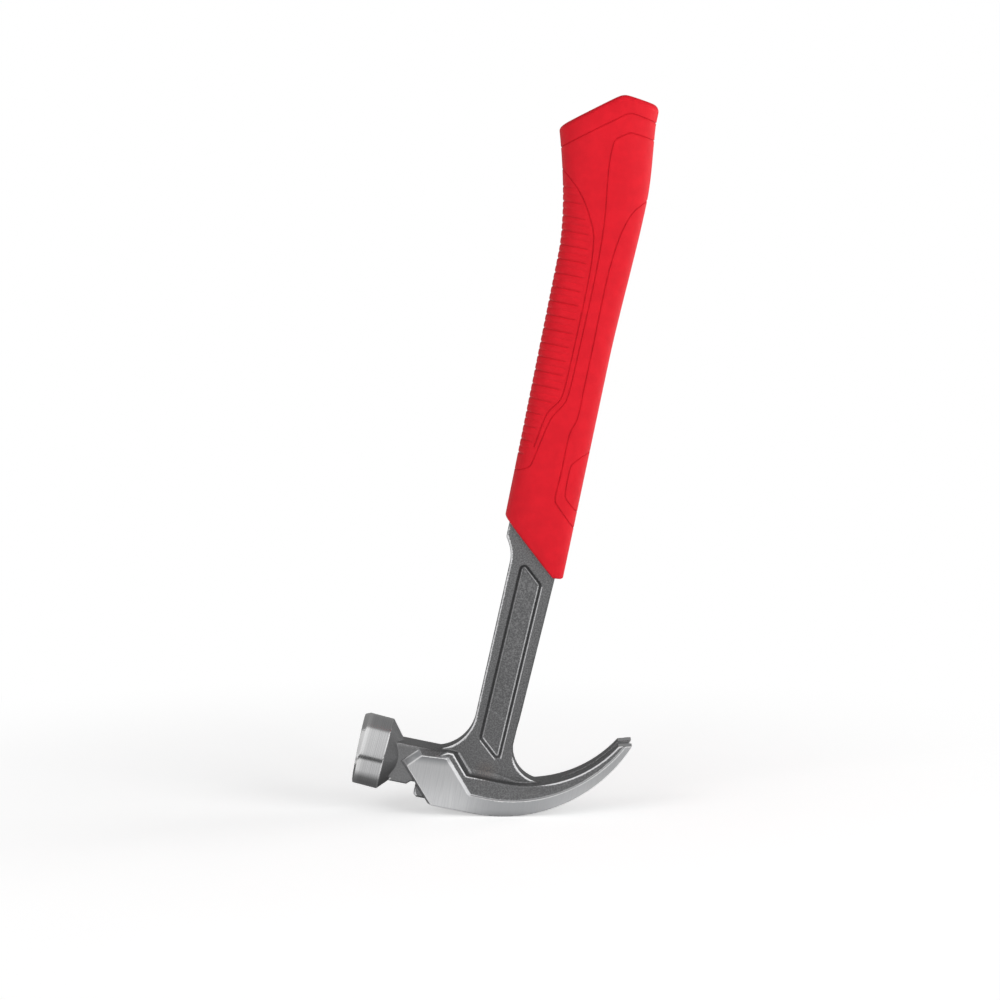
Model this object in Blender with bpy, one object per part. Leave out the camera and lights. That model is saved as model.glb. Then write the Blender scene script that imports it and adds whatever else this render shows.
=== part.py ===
"""Curved claw hammer, forged in one piece and fitted with a two-layer moulded grip.

The hammer stands on the crown of its head with the handle up +Z. The striking face looks along -X, the claw reaches
towards +X, and Y runs across the head. All sizes are in metres and all angles in degrees.
"""

import math

import bmesh
import bpy
from mathutils import Vector

# Head
HEAD_WIDTH = 0.026
FLANK_STEP = 0.0009
CROWN_FRONT_X = -0.0241
CROWN_REAR_X = -0.004

# Poll, turned about an axis that leans towards the handle, with its face ground parallel to the handle
FACE_REACH = 0.0644
POLL_AXIS_HEIGHT = 0.0188
POLL_LEAN = 3.3
POLL_RADIUS = 0.01745
POLL_BAND_LENGTH = 0.0136
FACE_CHAMFER_LENGTH = 0.0014
FACE_CHAMFER_DEPTH = 0.0012
FACE_FLAT_RADIUS = 0.008
FACE_CROWN = 0.0003
BELL_LENGTH = 0.0078
BELL_END_RADIUS = 0.0085

# Neck and the notch that starts a nail
NECK_WIDTH = 0.019
NECK_TOP = 0.0265
NECK_BOTTOM = 0.0070
NECK_EDGE = 0.0012
NOTCH_FRONT_X = -0.0378
NOTCH_REAR_X = -0.0335
NOTCH_CEILING = 0.0088
NOSE_BOTTOM = 0.0018
NOSE_CHAMFER = 0.0014

# Magnet beside the notch
MAGNET_RADIUS = 0.003
MAGNET_THICKNESS = 0.0035
MAGNET_X = -0.0415

# Ground cheek panel: its corners in side view, and how wide its bevels are
PANEL_FRONT = (-0.0391, 0.0166)
PANEL_TOP_FRONT = (-0.0329, 0.0229)
PANEL_TOP_REAR = (-0.0213, 0.0238)
PANEL_REAR = (-0.0066, 0.0075)
PANEL_FRONT_BEVEL = 0.0032
PANEL_TIP_BEVEL = 0.0013
PANEL_TOP_BEVEL = 0.0026
PANEL_REAR_BEVEL = 0.0015
PANEL_BEVEL_DEPTH = 0.0032
BAND_EDGE = 0.0006

# Claw
CLAW_OUTER_RADIUS = 0.0743
CLAW_INNER_RADIUS = 0.0595
CLAW_INNER_START_X = 0.008
CLAW_TIP_HEIGHT = 0.0478
CLAW_TIP_BEVEL = 14.0
BAND_ROOT_DEPTH = 0.0085
BAND_TIP_DEPTH = 0.0030
FLANK_EDGE = 0.0013
FLANK_OVERLAP = 0.4

# Ledge where the broad head steps in to the shank
LEDGE_HEIGHT = 0.0174
LEDGE_FRONT_X = -0.0100
LEDGE_TOP_X = -0.0183
LEDGE_DRAFT = 0.0018

# Nail slot in the claw
SLOT_LENGTH = 0.037
SLOT_ROOT_WIDTH = 0.0024
SLOT_MOUTH_WIDTH = 0.0075
SLOT_WALL_LEAN = 6.0

# Shank, an I section with a flute on each side
SHANK_THICKNESS = 0.012
SHANK_EDGE = 0.0011
SHANK_FRONT_X = -0.0118
SHANK_REAR_X = 0.0090
SHANK_TOP_FRONT_X = -0.0099
SHANK_TOP_REAR_X = 0.0130
SHANK_FRONT_FILLET = 0.017
SHANK_REAR_FILLET = 0.014
ROOT_FILLET = 0.0045
ROOT_FULL_X = 0.004
ROOT_FADE_X = 0.0185
WAIST_HEIGHT = 0.1215
WAIST_ROUNDING = 0.012
SHOULDER_X = -0.0140
SHOULDER_HEIGHT = 0.1345
SHOULDER_ROUNDING = 0.0012
FLUTE_DEPTH = 0.0026
FLUTE_WALL = 0.0013
FLUTE_FRONT_RIM = 0.0055
FLUTE_REAR_RIM = 0.0058
FLUTE_BOTTOM = 0.0275
FLUTE_BOTTOM_RISE = 0.0084
FLUTE_TOP = 0.1218
FLUTE_TOP_FALL = 0.0082
FLUTE_CORNER = 0.0012

# Tang inside the grip
TANG_FRONT_X = -0.0070
TANG_REAR_X = 0.0075
TANG_THICKNESS = 0.0070
TANG_TOP = 0.318
TANG_CORNER = 0.006
TANG_EDGE = 0.0012
TANG_HOLE_RADIUS = 0.0032
TANG_HOLE_HEIGHTS = (0.185, 0.235, 0.285)

# Grip
OVERALL_LENGTH = 0.3524
GRIP_FRONT_X = -0.0166
GRIP_REAR_X = 0.0168
GRIP_REAR_FLARE = 0.0016
GRIP_THICKNESS = 0.0262
GRIP_MOUTH_THICKNESS = 0.0196
GRIP_MOUTH_TAPER = 0.030
GRIP_SQUARENESS = 2.9
GRIP_LOWER_CORNER = 0.1438
GRIP_SLANT = 42.3
GRIP_TOE_HEIGHT = 0.1193
GRIP_EDGE = 0.0010
BUTT_FRONT_X = -0.0282
BUTT_FRONT_HEIGHT = 0.3300
BUTT_PEAK_X = -0.0012
BUTT_REAR_FALL = 4.0
BUTT_THICKNESS = 0.0285
BUTT_ROUNDING = 0.0042
BUTT_FLARE_LENGTH = 0.058

# Ribbed panel round the front of the grip, and the valleys between its ribs
RIB_FIRST_HEIGHT = 0.1754
RIB_LAST_HEIGHT = 0.3050
RIB_PITCH = 0.00678
RIB_DEPTH = 0.00045
RIB_GAP = 0.0016
RIB_LIFT = 0.0008

# Where the ribs end on the grip's sides, as pairs of x and share of the way up the ribbed panel
RIB_ENDS = ((-0.0131, 0.0), (-0.0104, 0.08), (-0.0080, 0.18), (-0.0033, 0.22), (-0.0012, 0.81), (-0.0150, 1.0))

# Core between the tang and the grip
CORE_WALL = 0.0050
CORE_SIDE_WALL = 0.0042
CORE_CORNER = 0.006
CORE_EDGE = 0.002
SEAT_DEPTH = 0.011

CLEARANCE = 0.0003

# How finely round forms are divided
POLL_SIDES = 64
CLAW_STEPS = 28
FILLET_STEPS = 10
CORNER_STEPS = 4
ROUND_SIDES = 24
GRIP_SIDES = 44
GRIP_RINGS = 20
BUTT_STEPS = 4
RIB_STEPS = 17
SETTLING_STEPS = 20
SMOOTH_ANGLE = 30.0

# Overlap that lets solids of the forging merge cleanly, and how far tools run past what they cut
MERGE = 0.0004
PAST = 0.02
PAST_TIP = 2.0

HALF_HEAD = HEAD_WIDTH / 2
HALF_FLANK = HALF_HEAD - FLANK_STEP
HALF_SHANK = SHANK_THICKNESS / 2
HALF_TANG = TANG_THICKNESS / 2
HALF_CORE = HALF_TANG + CORE_SIDE_WALL


def clear_scene():
    for thing in list(bpy.data.objects):
        bpy.data.objects.remove(thing, do_unlink=True)


def material(name, colour, roughness, metallic):
    """A Principled material in one colour."""
    made = bpy.data.materials.new(name)
    made.use_nodes = True
    shader = made.node_tree.nodes["Principled BSDF"]
    shader.inputs["Base Color"].default_value = (*colour, 1.0)
    shader.inputs["Roughness"].default_value = roughness
    shader.inputs["Metallic"].default_value = metallic
    made.diffuse_color = (*colour, 1.0)
    return made


# Outlines in side view, as (x, z) points


def arc(centre, radius, start, end, steps):
    """Points of a circle from one angle to another."""
    points = []
    for k in range(steps + 1):
        angle = math.radians(start + (end - start) * k / steps)
        points.append((centre[0] + radius * math.cos(angle), centre[1] + radius * math.sin(angle)))
    return points


def corner_arc(before, corner, after, radius, steps):
    """The arc that rounds one corner and meets both of its sides."""
    here = Vector(corner)
    back = (Vector(before) - here).normalized()
    onward = (Vector(after) - here).normalized()
    half_angle = back.angle(onward) / 2
    middle = here + (back + onward).normalized() * radius / math.sin(half_angle)
    first = here + back * radius / math.tan(half_angle) - middle
    last = here + onward * radius / math.tan(half_angle) - middle
    sweep = math.atan2(first.x * last.y - first.y * last.x, first.dot(last))
    start = math.degrees(math.atan2(first.y, first.x))
    return arc(middle, radius, start, start + math.degrees(sweep), steps)


def rounded(corners, steps=CORNER_STEPS):
    """A closed outline through corners (x, z, radius). A corner with no radius stays sharp."""
    outline = []
    for k, (x, z, radius) in enumerate(corners):
        before = corners[k - 1][:2]
        after = corners[(k + 1) % len(corners)][:2]
        outline += corner_arc(before, (x, z), after, radius, steps) if radius else [(x, z)]
    return outline


def signed_area(outline):
    total = 0.0
    for (x0, z0), (x1, z1) in zip(outline, outline[1:] + outline[:1]):
        total += x0 * z1 - x1 * z0
    return total / 2


def grown(outline, distance):
    """A closed outline moved outwards by a distance, or inwards by a negative one."""
    side = math.copysign(1.0, signed_area(outline))
    moved = []
    for k, point in enumerate(outline):
        here = Vector(point)
        arriving = (here - Vector(outline[k - 1])).normalized()
        leaving = (Vector(outline[(k + 1) % len(outline)]) - here).normalized()
        normal_in = Vector((arriving.y, -arriving.x)) * side
        normal_out = Vector((leaving.y, -leaving.x)) * side
        mitre = (normal_in + normal_out) / (1.0 + normal_in.dot(normal_out))
        moved.append(tuple(here + mitre * distance))
    return moved


def side_line(start, end, distance):
    """The straight side between two points, moved to its left, as a point and a direction."""
    along = (Vector(end) - Vector(start)).normalized()
    return Vector(start) + Vector((-along.y, along.x)) * distance, along


def crossing(first, second):
    """The point where two side lines meet."""
    (start_a, along_a), (start_b, along_b) = first, second
    gap = start_b - start_a
    reach = (gap.x * along_b.y - gap.y * along_b.x) / (along_a.x * along_b.y - along_a.y * along_b.x)
    return tuple(start_a + along_a * reach)


def between(start, end, share):
    return start + (end - start) * share


# Solids


def in_plane(outline, y):
    """A side-view outline placed at a distance across the head."""
    return [Vector((x, y, z)) for x, z in outline]


def close_across(bm, row):
    """Closes a ring that is mirrored in Y with strips across it, so that the end follows the ring's slopes."""
    half = len(row) // 2
    bm.faces.new((row[0], row[1], row[-1]))
    for k in range(1, half - 1):
        bm.faces.new((row[k], row[k + 1], row[-k - 1], row[-k]))
    bm.faces.new((row[half - 1], row[half], row[half + 1]))


def loft(name, rings, mirrored_ends=False):
    """A closed solid skinned over rings of equally many points."""
    mesh = bpy.data.meshes.new(name)
    bm = bmesh.new()
    rows = [[bm.verts.new(point) for point in ring] for ring in rings]
    for lower, upper in zip(rows, rows[1:]):
        for k in range(len(lower)):
            after = (k + 1) % len(lower)
            bm.faces.new((lower[k], lower[after], upper[after], upper[k]))
    for end in (rows[0], rows[-1]):
        if mirrored_ends:
            close_across(bm, end)
        else:
            bm.faces.new(end)
    bmesh.ops.recalc_face_normals(bm, faces=bm.faces)
    bm.to_mesh(mesh)
    bm.free()
    made = bpy.data.objects.new(name, mesh)
    bpy.context.scene.collection.objects.link(made)
    return made


def mirrored(rings):
    """The same rings on the other side of the head, in the order that carries a loft on."""
    return [[Vector((point.x, -point.y, point.z)) for point in ring] for ring in reversed(rings)]


def plate(name, outline, half_width, edge):
    """An outline extruded across the head, with its long edges chamfered."""
    narrow = grown(outline, -edge)
    rings = [
        in_plane(narrow, -half_width),
        in_plane(outline, edge - half_width),
        in_plane(outline, half_width - edge),
        in_plane(narrow, half_width),
    ]
    return loft(name, rings)


def turned(name, profile, origin, axis, sides):
    """A solid of revolution. The profile holds pairs of distance along the axis and radius."""
    across = axis.orthogonal().normalized()
    up = axis.cross(across)
    rings = []
    for distance, radius in profile:
        ring = []
        for k in range(sides):
            angle = 2 * math.pi * k / sides
            spoke = across * math.cos(angle) + up * math.sin(angle)
            ring.append(origin + axis * distance + spoke * radius)
        rings.append(ring)
    return loft(name, rings)


def combine(target, operation, tool):
    """Joins a construction solid to the target, or cuts it away, and leaves it as a wire guide."""
    tool.hide_render = True
    tool.display_type = "WIRE"
    modifier = target.modifiers.new(tool.name, "BOOLEAN")
    modifier.operation = operation
    modifier.solver = "EXACT"
    modifier.object = tool


# Lines that several pieces share


def slant_height(x):
    """Height of the grip's slanted lower end."""
    return GRIP_LOWER_CORNER - (x - GRIP_FRONT_X) * math.tan(math.radians(GRIP_SLANT))


def seat_height(x):
    """End of the thick shank, under the grip and parallel to the grip's slanted end."""
    return slant_height(x) + SEAT_DEPTH / math.cos(math.radians(GRIP_SLANT))


def shank_share(height):
    return (height - NECK_TOP) / (WAIST_HEIGHT - NECK_TOP)


def shank_front(height):
    """Front edge of the shank at a height."""
    return between(SHANK_FRONT_X, SHANK_TOP_FRONT_X, shank_share(height))


def shank_rear(height):
    return between(SHANK_REAR_X, SHANK_TOP_REAR_X, shank_share(height))


def claw_outer_centre():
    return (CROWN_REAR_X, CLAW_OUTER_RADIUS)


def claw_inner_centre():
    return (CLAW_INNER_START_X, LEDGE_HEIGHT + CLAW_INNER_RADIUS)


def claw_arc(centre, radius):
    """One curved side of the claw, from its lowest point to just past the tip."""
    end = math.degrees(math.asin((CLAW_TIP_HEIGHT - centre[1]) / radius)) + PAST_TIP
    return arc(centre, radius, -90, end, CLAW_STEPS)


def claw_outer_arc():
    return claw_arc(claw_outer_centre(), CLAW_OUTER_RADIUS)


def claw_inner_arc():
    return claw_arc(claw_inner_centre(), CLAW_INNER_RADIUS)


def claw_tip():
    """The chisel edge at the end of the claw's convex back."""
    x, z = claw_outer_centre()
    return Vector((x + math.sqrt(CLAW_OUTER_RADIUS**2 - (z - CLAW_TIP_HEIGHT) ** 2), CLAW_TIP_HEIGHT))


def band_line(share, lift=0.0):
    """A line along the claw's flank, at a share of the ground band's depth in from the convex back."""
    outer = claw_outer_arc()
    middle = Vector(claw_outer_centre())
    line = []
    for k, point in enumerate(outer):
        depth = between(BAND_ROOT_DEPTH, BAND_TIP_DEPTH, k / (len(outer) - 1)) * share + lift
        spoke = Vector(point) - middle
        line.append(tuple(middle + spoke.normalized() * (spoke.length - depth)))
    return line


# Forging


def poll_axis():
    """The way from the striking face to the handle, falling slightly."""
    lean = math.radians(POLL_LEAN)
    return Vector((math.cos(lean), 0.0, -math.sin(lean)))


def poll_ring(distance, radius, lean):
    """A ring about the poll's axis, a distance behind the face, in a plane that leans towards the handle."""
    centre = Vector((-FACE_REACH, 0.0, POLL_AXIS_HEIGHT)) + poll_axis() * distance
    up = Vector((math.sin(math.radians(lean)), 0.0, math.cos(math.radians(lean))))
    ring = []
    for k in range(POLL_SIDES):
        angle = 2 * math.pi * k / POLL_SIDES
        ring.append(centre + Vector((0.0, radius * math.cos(angle), 0.0)) + up * radius * math.sin(angle))
    return ring


def make_poll():
    """The striking poll: crowned face, chamfer, turned band and the bell behind it."""
    rings = [
        poll_ring(0.0, FACE_FLAT_RADIUS, 0.0),
        poll_ring(FACE_CROWN, POLL_RADIUS - FACE_CHAMFER_DEPTH, 0.0),
        poll_ring(FACE_CROWN + FACE_CHAMFER_LENGTH, POLL_RADIUS, POLL_LEAN),
        poll_ring(POLL_BAND_LENGTH, POLL_RADIUS, POLL_LEAN),
        poll_ring(POLL_BAND_LENGTH + BELL_LENGTH, BELL_END_RADIUS, POLL_LEAN),
    ]
    return loft("forged_body", rings)


def make_neck():
    """The square neck, with the notch that seats a nail and the nose behind it."""
    inside_bell = POLL_BAND_LENGTH + BELL_LENGTH / 2 - FACE_REACH
    ledge_low = LEDGE_FRONT_X - FLANK_EDGE
    ledge_high = LEDGE_TOP_X - FLANK_EDGE
    outline = [
        (inside_bell, NECK_TOP),
        (inside_bell, NECK_BOTTOM),
        (NOTCH_FRONT_X, NECK_BOTTOM),
        (NOTCH_FRONT_X + NOTCH_CEILING - NECK_BOTTOM, NOTCH_CEILING),
        (NOTCH_REAR_X, NOTCH_CEILING),
        (NOTCH_REAR_X, NOSE_BOTTOM + NOSE_CHAMFER),
        (NOTCH_REAR_X + NOSE_CHAMFER, NOSE_BOTTOM),
        (PANEL_TOP_REAR[0], NOSE_BOTTOM),
        (ledge_low, PANEL_REAR[1]),
        (ledge_low, LEDGE_HEIGHT - MERGE),
        (ledge_high, NECK_TOP),
    ]
    return plate("neck", outline, NECK_WIDTH / 2, NECK_EDGE)


def panel_outline(share, rear, band):
    """The ground panel and the band along the claw, with its sides moved out by a share of their bevels.

    The rear side and the band meet the flank close to the flat, so they have their own distances.
    """
    corners = [(CROWN_FRONT_X, 0.0), PANEL_FRONT, PANEL_TOP_FRONT, PANEL_TOP_REAR, PANEL_REAR]
    moves = (PANEL_TIP_BEVEL * share, PANEL_FRONT_BEVEL * share, PANEL_TOP_BEVEL * share, rear)
    sides = [side_line(a, b, move) for a, b, move in zip(corners, corners[1:], moves)]
    floor = side_line((CROWN_REAR_X, 0.0), corners[0], 0.0)
    upper = [point for point in band_line(1.0, band) if point[0] > PANEL_REAR[0] + BAND_ROOT_DEPTH]
    band_start = side_line((PANEL_REAR[0], upper[0][1]), upper[0], 0.0)
    sides = [floor] + sides + [band_start]
    met = [crossing(a, b) for a, b in zip(sides, sides[1:])]
    return met + upper + claw_outer_arc()[::-1]


def make_panel():
    """Cheek panel and claw band, ground flat on both sides and bevelled down to the rest of the head."""
    flat = panel_outline(0.0, 0.0, 0.0)
    step = panel_outline(FLANK_STEP / PANEL_BEVEL_DEPTH, PANEL_REAR_BEVEL, BAND_EDGE)
    base = panel_outline(1.0, PANEL_REAR_BEVEL, BAND_EDGE)
    deep = HALF_HEAD - PANEL_BEVEL_DEPTH
    rings = [in_plane(flat, HALF_HEAD), in_plane(step, HALF_FLANK), in_plane(base, deep)]
    return loft("panel", rings + mirrored(rings))


def flank_outline(draft):
    """Side view of the as-forged cheek and claw, with the slanted end of the ledge moved back by its draft."""
    top = NECK_TOP + MERGE
    top_front = between(PANEL_TOP_FRONT[0], PANEL_TOP_REAR[0], 0.5)
    outline = [(top_front, PANEL_TOP_FRONT[1]), (PANEL_TOP_REAR[0], top)]
    outline += [(LEDGE_TOP_X + draft, top), (LEDGE_FRONT_X + draft, LEDGE_HEIGHT)]
    outline += claw_inner_arc()
    inside_band = band_line(FLANK_OVERLAP)[:-1]
    return outline + inside_band[::-1] + [(top_front, PANEL_REAR[1])]


def make_flank():
    """The as-forged flank of cheek and claw, a step inside the ground surface."""
    side = flank_outline(0.0)
    middle = flank_outline(LEDGE_DRAFT)
    edge = HALF_FLANK - FLANK_EDGE
    rings = [in_plane(grown(side, -FLANK_EDGE), HALF_FLANK), in_plane(side, edge), in_plane(middle, HALF_SHANK)]
    return loft("flank", rings + mirrored(rings))


def shank_outline():
    """Side view of the shank, from inside the head to its slanted end under the grip."""
    front_x = shank_front(NECK_TOP + SHANK_FRONT_FILLET)
    front_middle = (front_x - SHANK_FRONT_FILLET, NECK_TOP - MERGE + SHANK_FRONT_FILLET)
    rear_x = shank_rear(LEDGE_HEIGHT + SHANK_REAR_FILLET) + SHANK_REAR_FILLET
    inner_x, inner_z = claw_inner_centre()
    reach = CLAW_INNER_RADIUS - SHANK_REAR_FILLET
    rear_middle = (rear_x, inner_z - math.sqrt(reach**2 - (rear_x - inner_x) ** 2) - MERGE)
    meets_claw = math.degrees(math.atan2(rear_middle[1] - inner_z, rear_x - inner_x))
    front_fillet = arc(front_middle, SHANK_FRONT_FILLET, -90, 0, FILLET_STEPS)
    rear_fillet = arc(rear_middle, SHANK_REAR_FILLET, 180, 360 + meets_claw, FILLET_STEPS)
    seat_front = SHOULDER_X + CLEARANCE
    seat_rear = shank_rear(WAIST_HEIGHT)
    upper = [
        (*front_fillet[-1], 0),
        (shank_front(WAIST_HEIGHT), WAIST_HEIGHT, WAIST_ROUNDING),
        (SHOULDER_X, SHOULDER_HEIGHT, SHOULDER_ROUNDING),
        (seat_front, seat_height(seat_front), 0),
        (seat_rear, seat_height(seat_rear), 0),
        (*rear_fillet[0], 0),
    ]
    inside = LEDGE_HEIGHT / 2
    foot = [(rear_fillet[-1][0], inside), (front_fillet[0][0], inside)]
    return front_fillet[:-1] + rounded(upper) + rear_fillet[1:] + foot


def make_shank():
    return plate("shank", shank_outline(), HALF_SHANK, SHANK_EDGE)


def make_root():
    """The fillet that leads from the ledge up to the shank's broad sides and fades out behind the shank."""
    low = LEDGE_HEIGHT / 2
    radius = ROOT_FILLET + MERGE
    rings = []
    for y, rise in arc((HALF_SHANK + ROOT_FILLET, ROOT_FILLET), radius, 270, 180, CORNER_STEPS):
        top = LEDGE_HEIGHT + rise
        outline = [
            (LEDGE_FRONT_X - FLANK_EDGE, low),
            (LEDGE_FRONT_X - FLANK_EDGE, top),
            (ROOT_FULL_X, top),
            (ROOT_FADE_X, LEDGE_HEIGHT - MERGE),
            (ROOT_FADE_X, low),
        ]
        rings.append(in_plane(outline, y))
    return loft("root", rings + mirrored(rings))


def tang_outline():
    return rounded(
        [
            (TANG_FRONT_X, WAIST_HEIGHT, 0),
            (TANG_REAR_X, WAIST_HEIGHT, 0),
            (TANG_REAR_X, TANG_TOP, TANG_CORNER),
            (TANG_FRONT_X, TANG_TOP, TANG_CORNER),
        ]
    )


def lock_bar(name, height, radius, half_length):
    """A round bar across the tang at one of its locking holes."""
    start = Vector(((TANG_FRONT_X + TANG_REAR_X) / 2, -half_length, height))
    profile = ((0.0, radius), (2 * half_length, radius))
    return turned(name, profile, start, Vector((0.0, 1.0, 0.0)), ROUND_SIDES)


def make_tang():
    """The flat tang, pierced by the holes that the core locks into."""
    tang = plate("tang", tang_outline(), HALF_TANG, TANG_EDGE)
    for number, height in enumerate(TANG_HOLE_HEIGHTS):
        combine(tang, "DIFFERENCE", lock_bar(f"tang_hole_{number}", height, TANG_HOLE_RADIUS, PAST))
    return tang


def make_flute(name, side):
    """A cutter with sloping walls for the long flute on one side of the shank, slanted at both ends."""
    front_low = shank_front(FLUTE_BOTTOM) + FLUTE_FRONT_RIM
    front_high = shank_front(FLUTE_TOP) + FLUTE_FRONT_RIM
    rear_low = shank_rear(FLUTE_BOTTOM) - FLUTE_REAR_RIM
    rear_high = shank_rear(FLUTE_TOP) - FLUTE_REAR_RIM
    floor = rounded(
        [
            (rear_low, FLUTE_BOTTOM, FLUTE_CORNER),
            (rear_high, FLUTE_TOP - FLUTE_TOP_FALL, FLUTE_CORNER),
            (front_high + FLUTE_CORNER, FLUTE_TOP, FLUTE_CORNER),
            (front_high, FLUTE_TOP - FLUTE_CORNER, FLUTE_CORNER),
            (front_low, FLUTE_BOTTOM + FLUTE_BOTTOM_RISE, FLUTE_CORNER),
        ]
    )
    above = grown(floor, FLUTE_WALL * (FLUTE_DEPTH + MERGE) / FLUTE_DEPTH)
    rings = [in_plane(floor, side * (HALF_SHANK - FLUTE_DEPTH)), in_plane(above, side * (HALF_SHANK + MERGE))]
    return loft(name, rings)


def make_slot():
    """The V between the claw's two prongs, cut square to the claw's chord and wider on the hollow side."""
    along = (claw_tip() - Vector((CLAW_INNER_START_X, LEDGE_HEIGHT / 2))).normalized()
    through = Vector((-along.y, along.x))
    root = claw_tip() - along * SLOT_LENGTH
    length = SLOT_LENGTH + PAST
    half_root = SLOT_ROOT_WIDTH / 2
    half_mouth = between(half_root, SLOT_MOUTH_WIDTH / 2, length / SLOT_LENGTH)
    rings = []
    for depth in (-PAST, PAST):
        wider = depth * math.tan(math.radians(SLOT_WALL_LEAN))
        half_end = max(half_root + wider, half_root / 2)
        plan = [(length, -half_mouth - wider), (length, half_mouth + wider)]
        plan += arc((0.0, 0.0), half_end, 90, 270, 2 * CORNER_STEPS)
        ring = []
        for distance, y in plan:
            place = root + along * distance + through * depth
            ring.append(Vector((place.x, y, place.y)))
        rings.append(ring)
    return loft("nail_slot", rings)


def make_tip_cut():
    """What is taken off the claw's end to leave two chisel points."""
    lean = math.radians(CLAW_TIP_BEVEL)
    along = Vector((math.cos(lean), math.sin(lean)))
    inner = claw_tip() - along * PAST
    beyond = claw_tip() + along * PAST
    outline = [tuple(inner), tuple(beyond), (beyond.x, beyond.y + PAST), (inner.x, inner.y + PAST)]
    return loft("tip_cut", [in_plane(outline, -HEAD_WIDTH), in_plane(outline, HEAD_WIDTH)])


def magnet_bar(name, radius, below, above):
    """A round bar that rises into the neck from its crown side."""
    foot = Vector((MAGNET_X, 0.0, NECK_BOTTOM - below))
    profile = ((0.0, radius), (below + MAGNET_THICKNESS + above, radius))
    return turned(name, profile, foot, Vector((0.0, 0.0, 1.0)), ROUND_SIDES)


def make_magnet():
    return magnet_bar("nail_magnet", MAGNET_RADIUS, 0.0, 0.0)


def make_forging():
    """The whole forging: solids joined into one body, then everything that is cut out of it."""
    body = make_poll()
    for solid in (make_neck(), make_panel(), make_flank(), make_root(), make_shank(), make_tang()):
        combine(body, "UNION", solid)
    bore = magnet_bar("magnet_bore", MAGNET_RADIUS + CLEARANCE, MERGE, CLEARANCE)
    flutes = [make_flute("flute_near", -1), make_flute("flute_far", 1)]
    for cutter in [make_slot(), make_tip_cut(), bore] + flutes:
        combine(body, "DIFFERENCE", cutter)
    return body


# Grip


def grip_bottom(x):
    """Height of the grip's lower end: the slant, then the level toe behind the shank."""
    return max(slant_height(x), GRIP_TOE_HEIGHT)


def grip_top(x):
    """Height of the butt: a steep slope up from its hooked front, then a slight fall to the rear."""
    if x < BUTT_PEAK_X:
        return between(BUTT_FRONT_HEIGHT, OVERALL_LENGTH, (x - BUTT_FRONT_X) / (BUTT_PEAK_X - BUTT_FRONT_X))
    return OVERALL_LENGTH - (x - BUTT_PEAK_X) * math.tan(math.radians(BUTT_REAR_FALL))


def butt_share(height):
    """How far the butt has flared at a height, from 0 to 1."""
    start = BUTT_FRONT_HEIGHT - BUTT_FLARE_LENGTH
    return min(max((height - start) / BUTT_FLARE_LENGTH, 0.0), 1.0) ** 2


def grip_front(height):
    """Front edge of the grip, straight up to the hook of the butt."""
    return between(GRIP_FRONT_X, BUTT_FRONT_X, butt_share(height))


def grip_rear(height):
    share = (height - GRIP_TOE_HEIGHT) / (OVERALL_LENGTH - GRIP_TOE_HEIGHT)
    return GRIP_REAR_X + GRIP_REAR_FLARE * share


def grip_half_thickness(above_mouth, height):
    """Half the grip's thickness: drawn in at the mouth, fuller at the butt."""
    drawn = math.sin(min(above_mouth / GRIP_MOUTH_TAPER, 1.0) * math.pi / 2)
    body = between(GRIP_MOUTH_THICKNESS, GRIP_THICKNESS, drawn)
    return (body + (BUTT_THICKNESS - GRIP_THICKNESS) * butt_share(height)) / 2


def squared(value):
    """A sine or cosine pressed towards 1 or -1, which turns a circle into the grip's rounded square."""
    return math.copysign(abs(value) ** (2 / GRIP_SQUARENESS), value)


def grip_ring(share, inset):
    """One section of the grip. Share runs from the slanted mouth, 0, to the sloping butt, 1."""
    ring = []
    for k in range(GRIP_SIDES):
        along = squared(math.cos(2 * math.pi * k / GRIP_SIDES))
        across = squared(math.sin(2 * math.pi * k / GRIP_SIDES))
        x = 0.0
        for _ in range(SETTLING_STEPS):
            height = between(grip_bottom(x), grip_top(x), share)
            front = grip_front(height) + inset
            rear = grip_rear(height) - inset
            x = between(front, rear, (1.0 + along) / 2)
        half = grip_half_thickness(height - grip_bottom(x), height) - inset
        ring.append(Vector((x, half * across, height)))
    return ring


def make_grip_body():
    """The grip's outer form, with an eased mouth and a rounded butt."""
    length = OVERALL_LENGTH - GRIP_TOE_HEIGHT
    first = GRIP_EDGE / length
    last = 1.0 - BUTT_ROUNDING / length
    rings = [grip_ring(0.0, GRIP_EDGE)]
    for k in range(GRIP_RINGS + 1):
        rings.append(grip_ring(between(first, last, k / GRIP_RINGS), 0.0))
    for k in range(1, BUTT_STEPS + 1):
        angle = math.pi / 2 * k / BUTT_STEPS
        rings.append(grip_ring(between(last, 1.0, math.sin(angle)), BUTT_ROUNDING * (1.0 - math.cos(angle))))
    return loft("grip_sleeve", rings, mirrored_ends=True)


def core_outline():
    """Side view of the core: it sits on the shank's slanted end and covers the tang."""
    front = TANG_FRONT_X - CORE_WALL
    rear = TANG_REAR_X + CORE_WALL
    lift = CLEARANCE / math.cos(math.radians(GRIP_SLANT))
    return rounded(
        [
            (front, seat_height(front) + lift, 0),
            (rear, seat_height(rear) + lift, 0),
            (rear, TANG_TOP + CORE_WALL, CORE_CORNER),
            (front, TANG_TOP + CORE_WALL, CORE_CORNER),
        ]
    )


def make_core():
    """The core, hollow for the tang, with a stud through each hole of the tang."""
    core = plate("grip_core", core_outline(), HALF_CORE, CORE_EDGE)
    room = grown(tang_outline(), CLEARANCE)
    combine(core, "DIFFERENCE", plate("tang_space", room, HALF_TANG + CLEARANCE, TANG_EDGE))
    inside_wall = HALF_CORE - CORE_SIDE_WALL / 2
    for number, height in enumerate(TANG_HOLE_HEIGHTS):
        combine(core, "UNION", lock_bar(f"core_stud_{number}", height, TANG_HOLE_RADIUS - CLEARANCE, inside_wall))
    return core


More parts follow.
